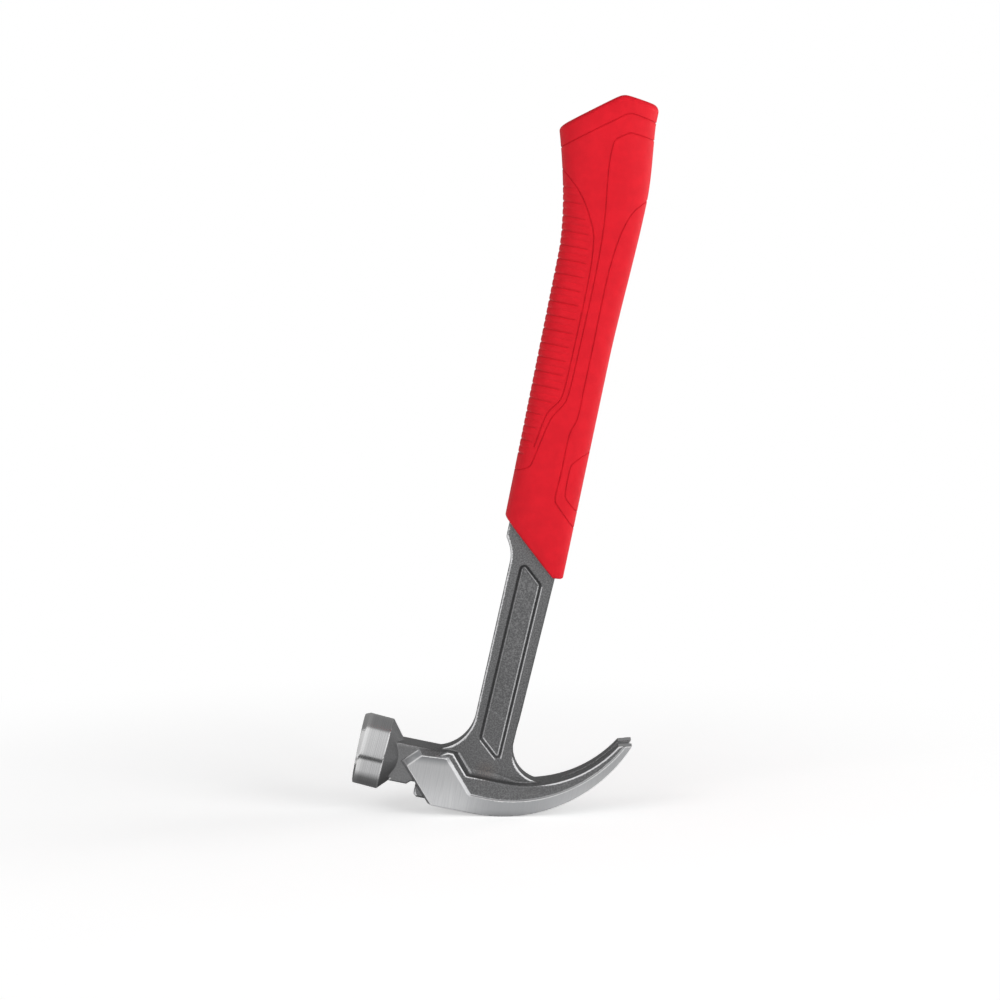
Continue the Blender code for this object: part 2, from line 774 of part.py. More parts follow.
def rib_end(height):
    """How far back the ribs reach along the grip's sides at a height."""
    share = (height - RIB_FIRST_HEIGHT) / (RIB_LAST_HEIGHT - RIB_FIRST_HEIGHT)
    for (x0, share0), (x1, share1) in zip(RIB_ENDS, RIB_ENDS[1:]):
        if share <= share1:
            break
    return between(x0, x1, (share - share0) / (share1 - share0))


def rib_path(height):
    """Evenly turned points round the front of the grip at a height, from one end of a rib to its other end."""
    front = grip_front(height)
    rear = grip_rear(height)
    ahead = 1.0 - 2 * (rib_end(height) - front) / (rear - front)
    turn = math.acos(ahead ** (GRIP_SQUARENESS / 2))
    path = []
    for k in range(RIB_STEPS + 1):
        angle = between(turn, -turn, k / RIB_STEPS)
        x = between(front, rear, (1.0 - squared(math.cos(angle))) / 2)
        y = grip_half_thickness(height - grip_bottom(x), height) * squared(math.sin(angle))
        path.append(Vector((x, y, height)))
    return path


def make_rib_cut(number, height):
    """A tool for one valley: a V swept round the front of the grip that lifts out of the skin at both ends."""
    path = rib_path(height)
    half_gap = Vector((0.0, 0.0, RIB_GAP / 2 * (RIB_DEPTH + RIB_LIFT) / RIB_DEPTH))
    rings = []
    for k, point in enumerate(path):
        along = path[min(k + 1, len(path) - 1)] - path[max(k - 1, 0)]
        outwards = Vector((along.y, -along.x, 0.0)).normalized()
        is_end = k in (0, len(path) - 1)
        bottom = point + outwards * (RIB_LIFT / 2 if is_end else -RIB_DEPTH)
        rim = point + outwards * RIB_LIFT
        rings.append([bottom, rim - half_gap, rim + half_gap])
    return loft(f"rib_cut_{number}", rings)


def make_sleeve():
    """The red outer grip, hollow for the shank's end and the core, with a ribbed front."""
    sleeve = make_grip_body()
    shank_room = grown(shank_outline(), CLEARANCE)
    core_room = grown(core_outline(), CLEARANCE)
    combine(sleeve, "DIFFERENCE", plate("shank_space", shank_room, HALF_SHANK + CLEARANCE, SHANK_EDGE))
    combine(sleeve, "DIFFERENCE", plate("core_space", core_room, HALF_CORE + CLEARANCE, CORE_EDGE))
    ribs = int((RIB_LAST_HEIGHT - RIB_FIRST_HEIGHT) / RIB_PITCH) + 1
    for number in range(ribs):
        combine(sleeve, "DIFFERENCE", make_rib_cut(number, RIB_FIRST_HEIGHT + RIB_PITCH * number))
    return sleeve


# Assembly


def stand_on_crown(root, pieces):
    """Moves the hammer so that the origin lies under the middle of its box, on the plane it stands on."""
    bpy.context.view_layer.update()
    depsgraph = bpy.context.evaluated_depsgraph_get()
    corners = [corner for piece in pieces for corner in piece.evaluated_get(depsgraph).bound_box]
    low = [min(corner[axis] for corner in corners) for axis in range(3)]
    high = [max(corner[axis] for corner in corners) for axis in range(3)]
    root.location = (-(low[0] + high[0]) / 2, -(low[1] + high[1]) / 2, -low[2])


def main():
    clear_scene()
    finishes = {
        "forged_body": material("forged steel", (0.15, 0.15, 0.155), 0.45, 1.0),
        "nail_magnet": material("nickel", (0.60, 0.59, 0.56), 0.25, 1.0),
        "grip_core": material("core nylon", (0.03, 0.03, 0.032), 0.55, 0.0),
        "grip_sleeve": material("red rubber", (0.68, 0.016, 0.027), 0.55, 0.0),
    }
    pieces = [make_forging(), make_magnet(), make_core(), make_sleeve()]
    for piece in pieces:
        piece.data.materials.append(finishes[piece.name])
        piece.data.shade_smooth()
        piece.data.set_sharp_from_angle(angle=math.radians(SMOOTH_ANGLE))
    root = bpy.data.objects.new("hammer", None)
    bpy.context.scene.collection.objects.link(root)
    stand_on_crown(root, pieces)
    for thing in bpy.data.objects:
        if thing is not root:
            thing.parent = root
    bpy.context.view_layer.update()


main()
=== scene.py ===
import math

import bmesh
import bpy
import numpy as np
from mathutils import Matrix, Vector


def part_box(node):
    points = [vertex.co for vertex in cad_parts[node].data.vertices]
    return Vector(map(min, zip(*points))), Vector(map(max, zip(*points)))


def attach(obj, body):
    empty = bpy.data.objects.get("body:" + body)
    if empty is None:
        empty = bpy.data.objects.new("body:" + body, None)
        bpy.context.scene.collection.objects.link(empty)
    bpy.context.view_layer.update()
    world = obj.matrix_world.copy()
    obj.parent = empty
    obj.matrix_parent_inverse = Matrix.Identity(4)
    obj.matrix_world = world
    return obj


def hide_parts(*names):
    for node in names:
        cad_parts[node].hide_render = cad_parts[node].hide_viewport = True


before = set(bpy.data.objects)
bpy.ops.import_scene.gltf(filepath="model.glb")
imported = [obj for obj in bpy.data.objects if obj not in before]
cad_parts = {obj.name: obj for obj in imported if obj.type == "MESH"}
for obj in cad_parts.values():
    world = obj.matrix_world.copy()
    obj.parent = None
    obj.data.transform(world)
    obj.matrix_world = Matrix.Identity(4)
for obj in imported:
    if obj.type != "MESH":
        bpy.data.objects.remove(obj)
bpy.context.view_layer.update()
scene = bpy.context.scene
mm = 0.001  # the hammer's sizes are in millimetres, the stage's in metres and every angle in degrees
tiny = 1e-6  # keeps a division away from nothing

print("frame loaded:", sorted(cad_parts))

# The hammer's pieces were drawn about their own origin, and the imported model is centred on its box
magnet = {"radius": 3.0, "thickness": 3.5, "x": -41.5}
magnetLow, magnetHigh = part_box("nail_magnet")
shiftX = (magnetLow.x + magnetHigh.x) / 2 - magnet["x"] * mm

# How many straight steps stand for a curve
fineness = {"corner": 6, "edge": 4, "fillet": 20, "root": 8, "slotEnd": 12, "bore": 32}


# Side view outlines, as (x, z) points

def arcPoints(centre, radius, start, end, steps):
    points = []
    for k in range(steps + 1):
        angle = math.radians(start + (end - start) * k / steps)
        points.append((centre[0] + radius * math.cos(angle), centre[1] + radius * math.sin(angle)))
    return points


def cornerArc(before, corner, after, radius):
    here = Vector(corner)
    back = (Vector(before) - here).normalized()
    onward = (Vector(after) - here).normalized()
    half = back.angle(onward) / 2
    middle = here + (back + onward).normalized() * radius / math.sin(half)
    first = here + back * radius / math.tan(half) - middle
    last = here + onward * radius / math.tan(half) - middle
    sweep = math.atan2(first.x * last.y - first.y * last.x, first.dot(last))
    start = math.degrees(math.atan2(first.y, first.x))
    return arcPoints(middle, radius, start, start + math.degrees(sweep), fineness["corner"])


def roundedOutline(corners):  # a corner is x, z and its radius
    outline = []
    for k, (x, z, radius) in enumerate(corners):
        before = corners[k - 1][:2]
        after = corners[(k + 1) % len(corners)][:2]
        outline += cornerArc(before, (x, z), after, radius) if radius else [(x, z)]
    return outline


def growOutline(outline, distance):  # moves every side outwards, or inwards by a distance below zero
    area = sum(a[0] * b[1] - b[0] * a[1] for a, b in zip(outline, outline[1:] + outline[:1]))
    side = math.copysign(1.0, area)
    moved = []
    for k, point in enumerate(outline):
        here = Vector(point)
        arriving = (here - Vector(outline[k - 1])).normalized()
        leaving = (Vector(outline[(k + 1) % len(outline)]) - here).normalized()
        normalIn = Vector((arriving.y, -arriving.x)) * side
        normalOut = Vector((leaving.y, -leaving.x)) * side
        mitre = (normalIn + normalOut) / (1.0 + normalIn.dot(normalOut))
        moved.append(tuple(here + mitre * distance))
    return moved


def sideLine(start, end, distance):  # the line from start to end, moved to its left
    along = (Vector(end) - Vector(start)).normalized()
    return Vector(start) + Vector((-along.y, along.x)) * distance, along


def crossing(first, second):
    (startA, alongA), (startB, alongB) = first, second
    gap = startB - startA
    reach = (gap.x * alongB.y - gap.y * alongB.x) / (alongA.x * alongB.y - alongA.y * alongB.x)
    return tuple(startA + alongA * reach)


def lerp(start, end, share):
    return start + (end - start) * share


# Solids

def addObject(name, data):
    made = bpy.data.objects.new(name, data)
    scene.collection.objects.link(made)
    return made


def atSide(outline, y):
    return [Vector((x, y, z)) for x, z in outline]


def otherSide(rings):
    return [[Vector((p.x, -p.y, p.z)) for p in ring] for ring in reversed(rings)]


def closeAcross(bm, row):  # strips across a ring that is mirrored in Y
    half = len(row) // 2
    bm.faces.new((row[0], row[1], row[-1]))
    for k in range(1, half - 1):
        bm.faces.new((row[k], row[k + 1], row[-k - 1], row[-k]))
    bm.faces.new((row[half - 1], row[half], row[half + 1]))


def skin(name, rings, acrossEnds=False):
    bm = bmesh.new()
    toScene = Matrix.Translation((shiftX, 0, 0)) @ Matrix.Scale(mm, 4)
    rows = [[bm.verts.new(toScene @ point) for point in ring] for ring in rings]
    for lower, upper in zip(rows, rows[1:]):
        for k in range(len(lower)):
            after = (k + 1) % len(lower)
            bm.faces.new((lower[k], lower[after], upper[after], upper[k]))
    for end in (rows[0], rows[-1]):
        closeAcross(bm, end) if acrossEnds else bm.faces.new(end)
    bmesh.ops.recalc_face_normals(bm, faces=bm.faces)
    mesh = bpy.data.meshes.new(name)
    bm.to_mesh(mesh)
    bm.free()
    return addObject(name, mesh)


def edgeRings(outline, halfWidth, edge):  # from the flat side round its rolled edge
    rings = []
    for k in range(fineness["edge"] + 1):
        angle = math.pi / 2 * k / fineness["edge"]
        inset = edge * (1 - math.sin(angle))
        rings.append(atSide(growOutline(outline, -inset), halfWidth - edge * (1 - math.cos(angle))))
    return rings


def roundedPlate(name, outline, halfWidth, edge):
    rings = edgeRings(outline, halfWidth, edge)
    return skin(name, rings + otherSide(rings))


def roundBar(name, foot, axis, length, radius):
    across = axis.orthogonal().normalized()
    up = axis.cross(across)
    spokes = [2 * math.pi * k / fineness["bore"] for k in range(fineness["bore"])]
    rings = []
    for distance in (0.0, length):
        middle = foot + axis * distance
        rings.append([middle + (across * math.cos(a) + up * math.sin(a)) * radius for a in spokes])
    return skin(name, rings)


def combine(target, operation, tool):
    cut = target.modifiers.new(tool.name, "BOOLEAN")
    cut.operation = operation
    cut.solver = "EXACT"
    cut.object = tool
    return tool


def meshOf(target):  # its shape with the modifiers in it, as a plain mesh
    bpy.context.view_layer.update()
    return bpy.data.meshes.new_from_object(target.evaluated_get(bpy.context.evaluated_depsgraph_get()))


def bake(target, tools=()):  # modifiers become a plain mesh, and the tools go
    mesh = meshOf(target)
    target.modifiers.clear()
    target.data = mesh
    for tool in tools:
        bpy.data.objects.remove(tool, do_unlink=True)


# Forging: poll, neck, cheeks, claw, shank and tang

poll = {
    "reach": 64.4, "axisHeight": 18.8, "lean": 3.3, "radius": 17.45, "band": 13.6,
    "chamferLength": 1.4, "chamferDepth": 1.2, "flatRadius": 8.0, "crown": 0.3,
    "bellLength": 7.8, "bellEnd": 8.5, "sides": 160,
}
neck = {
    "width": 19.0, "top": 26.5, "bottom": 7.0, "edge": 1.2, "notchFront": -37.8, "notchRear": -33.5,
    "notchCeiling": 8.8, "noseBottom": 1.8, "noseChamfer": 1.4,
}
cheek = {
    "half": 13.0, "crownFront": -24.1, "crownRear": -4.0,
    "front": (-39.1, 16.6), "topFront": (-32.9, 22.9), "topRear": (-21.3, 23.8), "rear": (-6.6, 7.5),
    "tipBevel": 1.3, "frontBevel": 3.2, "topBevel": 2.6, "rearBevel": 1.5, "bandBevel": 0.6,
    "bevelDepth": 3.2,
}
claw = {
    "outer": 74.3, "inner": 59.5, "innerStart": 8.0, "tip": 47.8, "tipBevel": 14.0, "steps": 44,
    "bandRoot": 8.5, "bandTip": 2.2, "flankStep": 0.9, "flankEdge": 0.8, "flankOverlap": 0.4,
    "pastTip": 2.0, "slotLength": 37.0, "slotRoot": 2.4, "slotMouth": 7.5, "slotLean": 6.0,
}
ledge = {
    "height": 17.4, "front": -10.0, "top": -18.3, "draft": 1.8, "fillet": 4.5, "full": 4.0, "fade": 18.5,
}
shank = {
    "half": 6.0, "edge": 1.1, "front": -11.8, "rear": 9.0, "topFront": -9.9, "topRear": 13.0,
    "frontFillet": 20.0, "rearFillet": 15.5, "waist": 121.5, "waistCorner": 127.5, "waistRounding": 18.0,
    "shoulder": (-14.0, 134.5), "shoulderRounding": 1.2, "seat": 11.0,
}
flute = {
    "depth": 2.6, "wall": 1.3, "frontRim": 5.5, "frontRimTop": 6.3, "rearRim": 5.8, "rearRimTop": 6.8,
    "bottom": 27.5, "bottomRise": 8.4, "top": 122.0, "topFall": 7.6, "corner": 1.2,
    "stepFront": 50.3, "stepRear": 45.6, "stepDepth": 0.35, "stepMargin": 0.5,
}
tang = {
    "front": -7.0, "rear": 7.5, "half": 3.5, "top": 318.0, "corner": 6.0, "edge": 1.2,
    "hole": 3.2, "holes": (185.0, 235.0, 285.0),
}
grip = {  # "seat" values lie inside it, where shank and core end on a slant
    "length": 352.4, "front": -16.6, "rear": 16.8, "rearFlare": 1.6, "thickness": 26.2, "toe": 119.3,
    "mouth": 19.2, "mouthTaper": 30.0, "mouthCorner": 144.1, "mouthSlant": 41.2, "mouthSteps": 4,
    "lip": 22.2, "lipLength": 6.0, "edge": 1.0, "seatCorner": 143.8, "seatSlant": 42.3,
    "buttFront": -28.2, "buttHeight": 331.6, "buttPeak": -1.2, "buttFall": 6.5, "buttThickness": 28.5,
    "buttRounding": 3.4, "buttEase": 1.0, "buttSteps": 8, "flareLength": 58.0, "flarePower": 1.6,
    "swell": 2.0, "swellStart": 225.0, "swellPeak": 303.0, "swellQuarter": 25.5, "swellEnd": 341.0,
    "squareness": 2.9, "buttSquareness": 2.3, "sides": 148, "rimSteps": 1800, "settling": 12,
    "ringStep": 1.2, "ribStep": 0.36, "sharpAngle": 40.0,
}
core = {"wall": 5.0, "sideWall": 4.2, "corner": 6.0, "edge": 2.0}
clearance = 0.3
weld = 0.4  # how far solids of the forging run into each other
past = 20.0  # how far a cutter runs past what it cuts
pollAxis = Vector((math.cos(math.radians(poll["lean"])), 0, -math.sin(math.radians(poll["lean"]))))
pollFace = Vector((-poll["reach"], 0, poll["axisHeight"]))


def slantHeight(x):
    return grip["seatCorner"] - (x - grip["front"]) * math.tan(math.radians(grip["seatSlant"]))


def seatHeight(x):
    return slantHeight(x) + shank["seat"] / math.cos(math.radians(grip["seatSlant"]))


def upShank(height):
    return (height - neck["top"]) / (shank["waist"] - neck["top"])


def shankFront(height):
    return lerp(shank["front"], shank["topFront"], upShank(height))


def shankRear(height):
    return lerp(shank["rear"], shank["topRear"], upShank(height))


def outerCentre():
    return (cheek["crownRear"], claw["outer"])


def innerCentre():
    return (claw["innerStart"], ledge["height"] + claw["inner"])


def clawArc(centre, radius):
    end = math.degrees(math.asin((claw["tip"] - centre[1]) / radius)) + claw["pastTip"]
    return arcPoints(centre, radius, -90, end, claw["steps"])


def clawTip():
    x, z = outerCentre()
    return Vector((x + math.sqrt(claw["outer"] ** 2 - (z - claw["tip"]) ** 2), claw["tip"]))


def bandLine(share, lift=0.0):  # runs along the claw's back, at a share of the band's depth
    outer = clawArc(outerCentre(), claw["outer"])
    middle = Vector(outerCentre())
    line = []
    for k, point in enumerate(outer):
        depth = lerp(claw["bandRoot"], claw["bandTip"], k / (len(outer) - 1)) * share + lift
        spoke = Vector(point) - middle
        line.append(tuple(middle + spoke.normalized() * (spoke.length - depth)))
    return line


def pollRing(distance, radius, lean):
    up = Vector((math.sin(math.radians(lean)), 0, math.cos(math.radians(lean))))
    middle = pollFace + pollAxis * distance
    spokes = [2 * math.pi * k / poll["sides"] for k in range(poll["sides"])]
    return [middle + Vector((0, radius * math.cos(a), 0)) + up * radius * math.sin(a) for a in spokes]


def makePoll():  # turned about a leaning axis, then ground parallel to the handle
    chamfer = poll["crown"] + poll["chamferLength"]
    return skin("forging", [
        pollRing(0.0, poll["flatRadius"], 0.0),
        pollRing(poll["crown"], poll["radius"] - poll["chamferDepth"], 0.0),
        pollRing(chamfer, poll["radius"], poll["lean"]),
        pollRing(poll["band"], poll["radius"], poll["lean"]),
        pollRing(poll["band"] + poll["bellLength"], poll["bellEnd"], poll["lean"]),
    ])


def makeNeck():
    insideBell = poll["band"] + poll["bellLength"] / 2 - poll["reach"]
    ledgeLow = ledge["front"] - claw["flankEdge"]
    ceiling = neck["notchCeiling"]
    outline = [
        (insideBell, neck["top"]),
        (insideBell, neck["bottom"]),
        (neck["notchFront"], neck["bottom"]),
        (neck["notchFront"] + ceiling - neck["bottom"], ceiling),
        (neck["notchRear"], ceiling),
        (neck["notchRear"], neck["noseBottom"] + neck["noseChamfer"]),
        (neck["notchRear"] + neck["noseChamfer"], neck["noseBottom"]),
        (cheek["topRear"][0], neck["noseBottom"]),
        (ledgeLow, cheek["rear"][1]),
        (ledgeLow, ledge["height"] - weld),
        (ledge["top"] - claw["flankEdge"], neck["top"]),
    ]
    return roundedPlate("neck", outline, neck["width"] / 2, neck["edge"])


def cheekOutline(share, rearMove, bandMove):  # share 0 is the ground flat, 1 the foot of its bevels
    corners = [(cheek["crownFront"], 0.0)]
    corners += [cheek[name] for name in ("front", "topFront", "topRear", "rear")]
    moves = [cheek[name] * share for name in ("tipBevel", "frontBevel", "topBevel")] + [rearMove]
    sides = [sideLine(a, b, move) for a, b, move in zip(corners, corners[1:], moves)]
    floorLine = sideLine((cheek["crownRear"], 0.0), corners[0], 0.0)
    startX = cheek["rear"][0] + claw["bandRoot"]
    upper = [point for point in bandLine(1.0, bandMove) if point[0] > startX]
    bandStart = sideLine((cheek["rear"][0], upper[0][1]), upper[0], 0.0)
    sides = [floorLine] + sides + [bandStart]
    met = [crossing(a, b) for a, b in zip(sides, sides[1:])]
    return met + upper + clawArc(outerCentre(), claw["outer"])[::-1]


def makeCheek():
    half, depth, step = cheek["half"], cheek["bevelDepth"], claw["flankStep"]
    moves = (cheek["rearBevel"], cheek["bandBevel"])
    flat = atSide(cheekOutline(0.0, 0.0, 0.0), half)
    edge = atSide(cheekOutline(step / depth, *moves), half - step)
    foot = atSide(cheekOutline(1.0, *moves), half - depth)
    return skin("cheek", [flat, edge, foot] + otherSide([flat, edge, foot]))


def flankOutline(draft):
    top = neck["top"] + weld
    topFront = lerp(cheek["topFront"][0], cheek["topRear"][0], 0.5)
    outline = [(topFront, cheek["topFront"][1]), (cheek["topRear"][0], top)]
    outline += [(ledge["top"] + draft, top), (ledge["front"] + draft, ledge["height"])]
    outline += clawArc(innerCentre(), claw["inner"])
    insideBand = bandLine(claw["flankOverlap"])[:-1]
    return outline + insideBand[::-1] + [(topFront, cheek["rear"][1])]


def makeFlank():
    rings = edgeRings(flankOutline(0.0), cheek["half"] - claw["flankStep"], claw["flankEdge"])
    rings.append(atSide(flankOutline(ledge["draft"]), shank["half"]))
    return skin("flank", rings + otherSide(rings))


def shankOutline():
    frontX = shankFront(neck["top"] + shank["frontFillet"])
    frontMiddle = (frontX - shank["frontFillet"], neck["top"] - weld + shank["frontFillet"])
    rearX = shankRear(ledge["height"] + shank["rearFillet"]) + shank["rearFillet"]
    innerX, innerZ = innerCentre()
    reach = claw["inner"] - shank["rearFillet"]
    rearMiddle = (rearX, innerZ - math.sqrt(reach ** 2 - (rearX - innerX) ** 2) - weld)
    meetsClaw = math.degrees(math.atan2(rearMiddle[1] - innerZ, rearX - innerX))
    frontFillet = arcPoints(frontMiddle, shank["frontFillet"], -90, 0, fineness["fillet"])
    rearFillet = arcPoints(rearMiddle, shank["rearFillet"], 180, 360 + meetsClaw, fineness["fillet"])
    seatFront = shank["shoulder"][0] + clearance
    seatRear = shankRear(shank["waist"])
    upper = [
        (*frontFillet[-1], 0),
        (shankFront(shank["waistCorner"]), shank["waistCorner"], shank["waistRounding"]),
        (*shank["shoulder"], shank["shoulderRounding"]),
        (seatFront, seatHeight(seatFront), 0),
        (seatRear, seatHeight(seatRear), 0),
        (*rearFillet[0], 0),
    ]
    inside = ledge["height"] / 2
    foot = [(rearFillet[-1][0], inside), (frontFillet[0][0], inside)]
    return frontFillet[:-1] + roundedOutline(upper) + rearFillet[1:] + foot


def makeRoot():  # spreads the shank's sides out onto the ledge
    low = ledge["height"] / 2
    fillet = ledge["fillet"]
    front = ledge["front"] - claw["flankEdge"]
    rings = []
    for y, rise in arcPoints((shank["half"] + fillet, fillet), fillet + weld, 270, 180, fineness["root"]):
        top = ledge["height"] + rise
        outline = [(front, low), (front, top), (ledge["full"], top)]
        outline += [(ledge["fade"], ledge["height"] - weld), (ledge["fade"], low)]
        rings.append(atSide(outline, y))
    return skin("root", rings + otherSide(rings))


def tangOutline():
    low = shank["waist"]
    corners = [(tang["front"], low, 0), (tang["rear"], low, 0)]
    corners += [(tang["rear"], tang["top"], tang["corner"]), (tang["front"], tang["top"], tang["corner"])]
    return roundedOutline(corners)


def upFlute(height):
    return (height - flute["bottom"]) / (flute["top"] - flute["bottom"])


def fluteFront(height):  # the rims beside the flute widen a little upwards
    return shankFront(height) + lerp(flute["frontRim"], flute["frontRimTop"], upFlute(height))


def fluteRear(height):
    return shankRear(height) - lerp(flute["rearRim"], flute["rearRimTop"], upFlute(height))


def fluteCorners():
    frontHigh = fluteFront(flute["top"])
    return [
        (fluteRear(flute["bottom"]), flute["bottom"]),
        (fluteRear(flute["top"]), flute["top"] - flute["topFall"]),
        (frontHigh + flute["corner"], flute["top"]),
        (frontHigh, flute["top"] - flute["corner"]),
        (fluteFront(flute["bottom"]), flute["bottom"] + flute["bottomRise"]),
    ]


def makeFlute(name, side):
    base = roundedOutline([(x, z, flute["corner"]) for x, z in fluteCorners()])
    above = growOutline(base, flute["wall"] * (flute["depth"] + weld) / flute["depth"])
    floorRing = atSide(base, side * (shank["half"] - flute["depth"]))
    return skin(name, [floorRing, atSide(above, side * (shank["half"] + weld))])


def makeFluteStep(name, side):  # above a slanting line the flute's floor lies a little deeper
    margin = flute["stepMargin"]
    frontX = [fluteFront(height) + margin for height in (flute["stepFront"], flute["top"])]
    rearX = [fluteRear(height) - margin for height in (flute["stepRear"], flute["top"])]
    outline = [
        (rearX[0], flute["stepRear"]),
        (rearX[1], flute["top"] - flute["topFall"] - margin),
        (frontX[1] + flute["corner"], flute["top"] - 2 * margin),
        (frontX[1], flute["top"] - flute["corner"] - 2 * margin),
        (frontX[0], flute["stepFront"]),
    ]
    floorY = shank["half"] - flute["depth"]
    deeper = atSide(outline, side * (floorY - flute["stepDepth"]))
    return skin(name, [deeper, atSide(outline, side * (floorY + weld))])


def makeSlot():
    along = (clawTip() - Vector((claw["innerStart"], ledge["height"] / 2))).normalized()
    through = Vector((-along.y, along.x))
    start = clawTip() - along * claw["slotLength"]
    length = claw["slotLength"] + past
    halfRoot = claw["slotRoot"] / 2
    halfMouth = lerp(halfRoot, claw["slotMouth"] / 2, length / claw["slotLength"])
    rings = []
    for depth in (-past, past):
        wider = depth * math.tan(math.radians(claw["slotLean"]))
        halfEnd = max(halfRoot + wider, halfRoot / 2)
        plan = [(length, -halfMouth - wider), (length, halfMouth + wider)]
        plan += arcPoints((0.0, 0.0), halfEnd, 90, 270, fineness["slotEnd"])
        spots = [(start + along * distance + through * depth, y) for distance, y in plan]
        rings.append([Vector((spot.x, y, spot.y)) for spot, y in spots])
    return skin("nailSlot", rings)


def makeTipCut():
    lean = math.radians(claw["tipBevel"])
    along = Vector((math.cos(lean), math.sin(lean)))
    inner = clawTip() - along * past
    beyond = clawTip() + along * past
    outline = [tuple(inner), tuple(beyond), (beyond.x, beyond.y + past), (inner.x, inner.y + past)]
    return skin("tipCut", [atSide(outline, -2 * cheek["half"]), atSide(outline, 2 * cheek["half"])])


def makeBore():
    foot = Vector((magnet["x"], 0, neck["bottom"] - weld))
    length = weld + magnet["thickness"] + clearance
    return roundBar("magnetBore", foot, Vector((0, 0, 1)), length, magnet["radius"] + clearance)


def makeTangHole(name, height):
    start = Vector(((tang["front"] + tang["rear"]) / 2, -past, height))
    return roundBar(name, start, Vector((0, 1, 0)), 2 * past, tang["hole"])


surface = {
    "voxel": 0.3, "smoothing": 4, "smoothShare": 0.5, "triangles": 170000, "snap": 0.12, "shankSnap": 0.5,
}


def softenForging(forging):  # rolls every edge and blends every joint, as the die does
    melt = forging.modifiers.new("melt", "REMESH")
    melt.mode = "VOXEL"
    melt.voxel_size = surface["voxel"] * mm
    ease = forging.modifiers.new("ease", "SMOOTH")
    ease.factor = surface["smoothShare"]
    ease.iterations = surface["smoothing"]
    bake(forging)
    thin = forging.modifiers.new("thin", "DECIMATE")
    thin.ratio = min(1.0, surface["triangles"] / (2 * len(forging.data.polygons)))
    bake(forging)


def readRows(items, name, width=3, kind=float):
    flat = np.empty(len(items) * width, dtype=kind)
    items.foreach_get(name, flat)
    return flat.reshape(-1, width)


def drawnPlaces(points):  # x, y and z in millimetres, about the origin that the pieces were drawn at
    return (points[:, 0] - shiftX) / mm, points[:, 1] / mm, points[:, 2] / mm


def trueShank(points):  # beside the flute the shank comes back to its exact rounded section
    x, y, z = drawnPlaces(points)
    radius = shank["edge"]
    front, rear = shankFront(z), shankRear(z)
    acrossX = np.abs(x - (front + rear) / 2) - (rear - front) / 2 + radius
    acrossY = np.abs(y) - shank["half"] + radius
    cornerX, cornerY = np.maximum(acrossX, 0), np.maximum(acrossY, 0)
    reach = np.hypot(cornerX, cornerY)
    off = reach + np.minimum(np.maximum(acrossX, acrossY), 0) - radius
    beside = (x < fluteFront(z) - 2 * flute["wall"]) | (x > fluteRear(z) + 2 * flute["wall"])
    straight = (z > neck["top"] + shank["frontFillet"]) & (z < shank["waist"] - shank["edge"])
    near = beside & straight & (np.abs(off) < surface["shankSnap"]) & (reach > 0)
    moveX = off * cornerX * np.sign(x - (front + rear) / 2) / np.maximum(reach, tiny) * mm
    moveY = off * cornerY * np.sign(y) / np.maximum(reach, tiny) * mm
    points[near, 0] -= moveX[near]
    points[near, 1] -= moveY[near]


def trueUp(forging):  # shank, ground flats and turned band come back to their exact places
    points = readRows(forging.data.vertices, "co")
    trueShank(points)
    near = np.abs(np.abs(points[:, 1]) - cheek["half"] * mm) < surface["snap"] * mm
    points[near, 1] = np.sign(points[near, 1]) * cheek["half"] * mm
    axis = np.array(pollAxis)
    face = np.array(pollFace) * mm + np.array((shiftX, 0, 0))
    along = (points - face) @ axis
    spokes = points - face - np.outer(along, axis)
    radius = np.linalg.norm(spokes, axis=1)
    chamfer = (poll["crown"] + poll["chamferLength"]) * mm
    band = (along > chamfer) & (along < poll["band"] * mm)
    band &= np.abs(radius - poll["radius"] * mm) < surface["snap"] * mm
    points[band] += spokes[band] * (poll["radius"] * mm / radius[band] - 1)[:, None]
    forging.data.vertices.foreach_set("co", points.ravel())
    forging.data.update()


# Edges are painted bright by how sharp they are: wear on the poll, and elsewhere wear with a painted
# highlight only where they face forward or up, towards the light.
# Those inside the nail slot and along the ledge keep their scale, and the flute's own painted highlight lines
# are drawn by its finish.
edgeWearAndHighlight = {
    "passes": 3, "up": 1.2, "leanStart": -0.85, "leanFull": -0.15, "sideStart": 0.45, "sideFull": 0.7,
    "slotStart": 24.0, "slotHalf": 4.8, "ledgeTop": 45.0, "ledgeStart": -8.0, "ledgeEnd": 20.0,
    "clawFull": 34.0,
}


def ramp(values, start, full):  # 0 up to start, 1 from full on
    return np.clip((values - start) / (full - start), 0, 1)


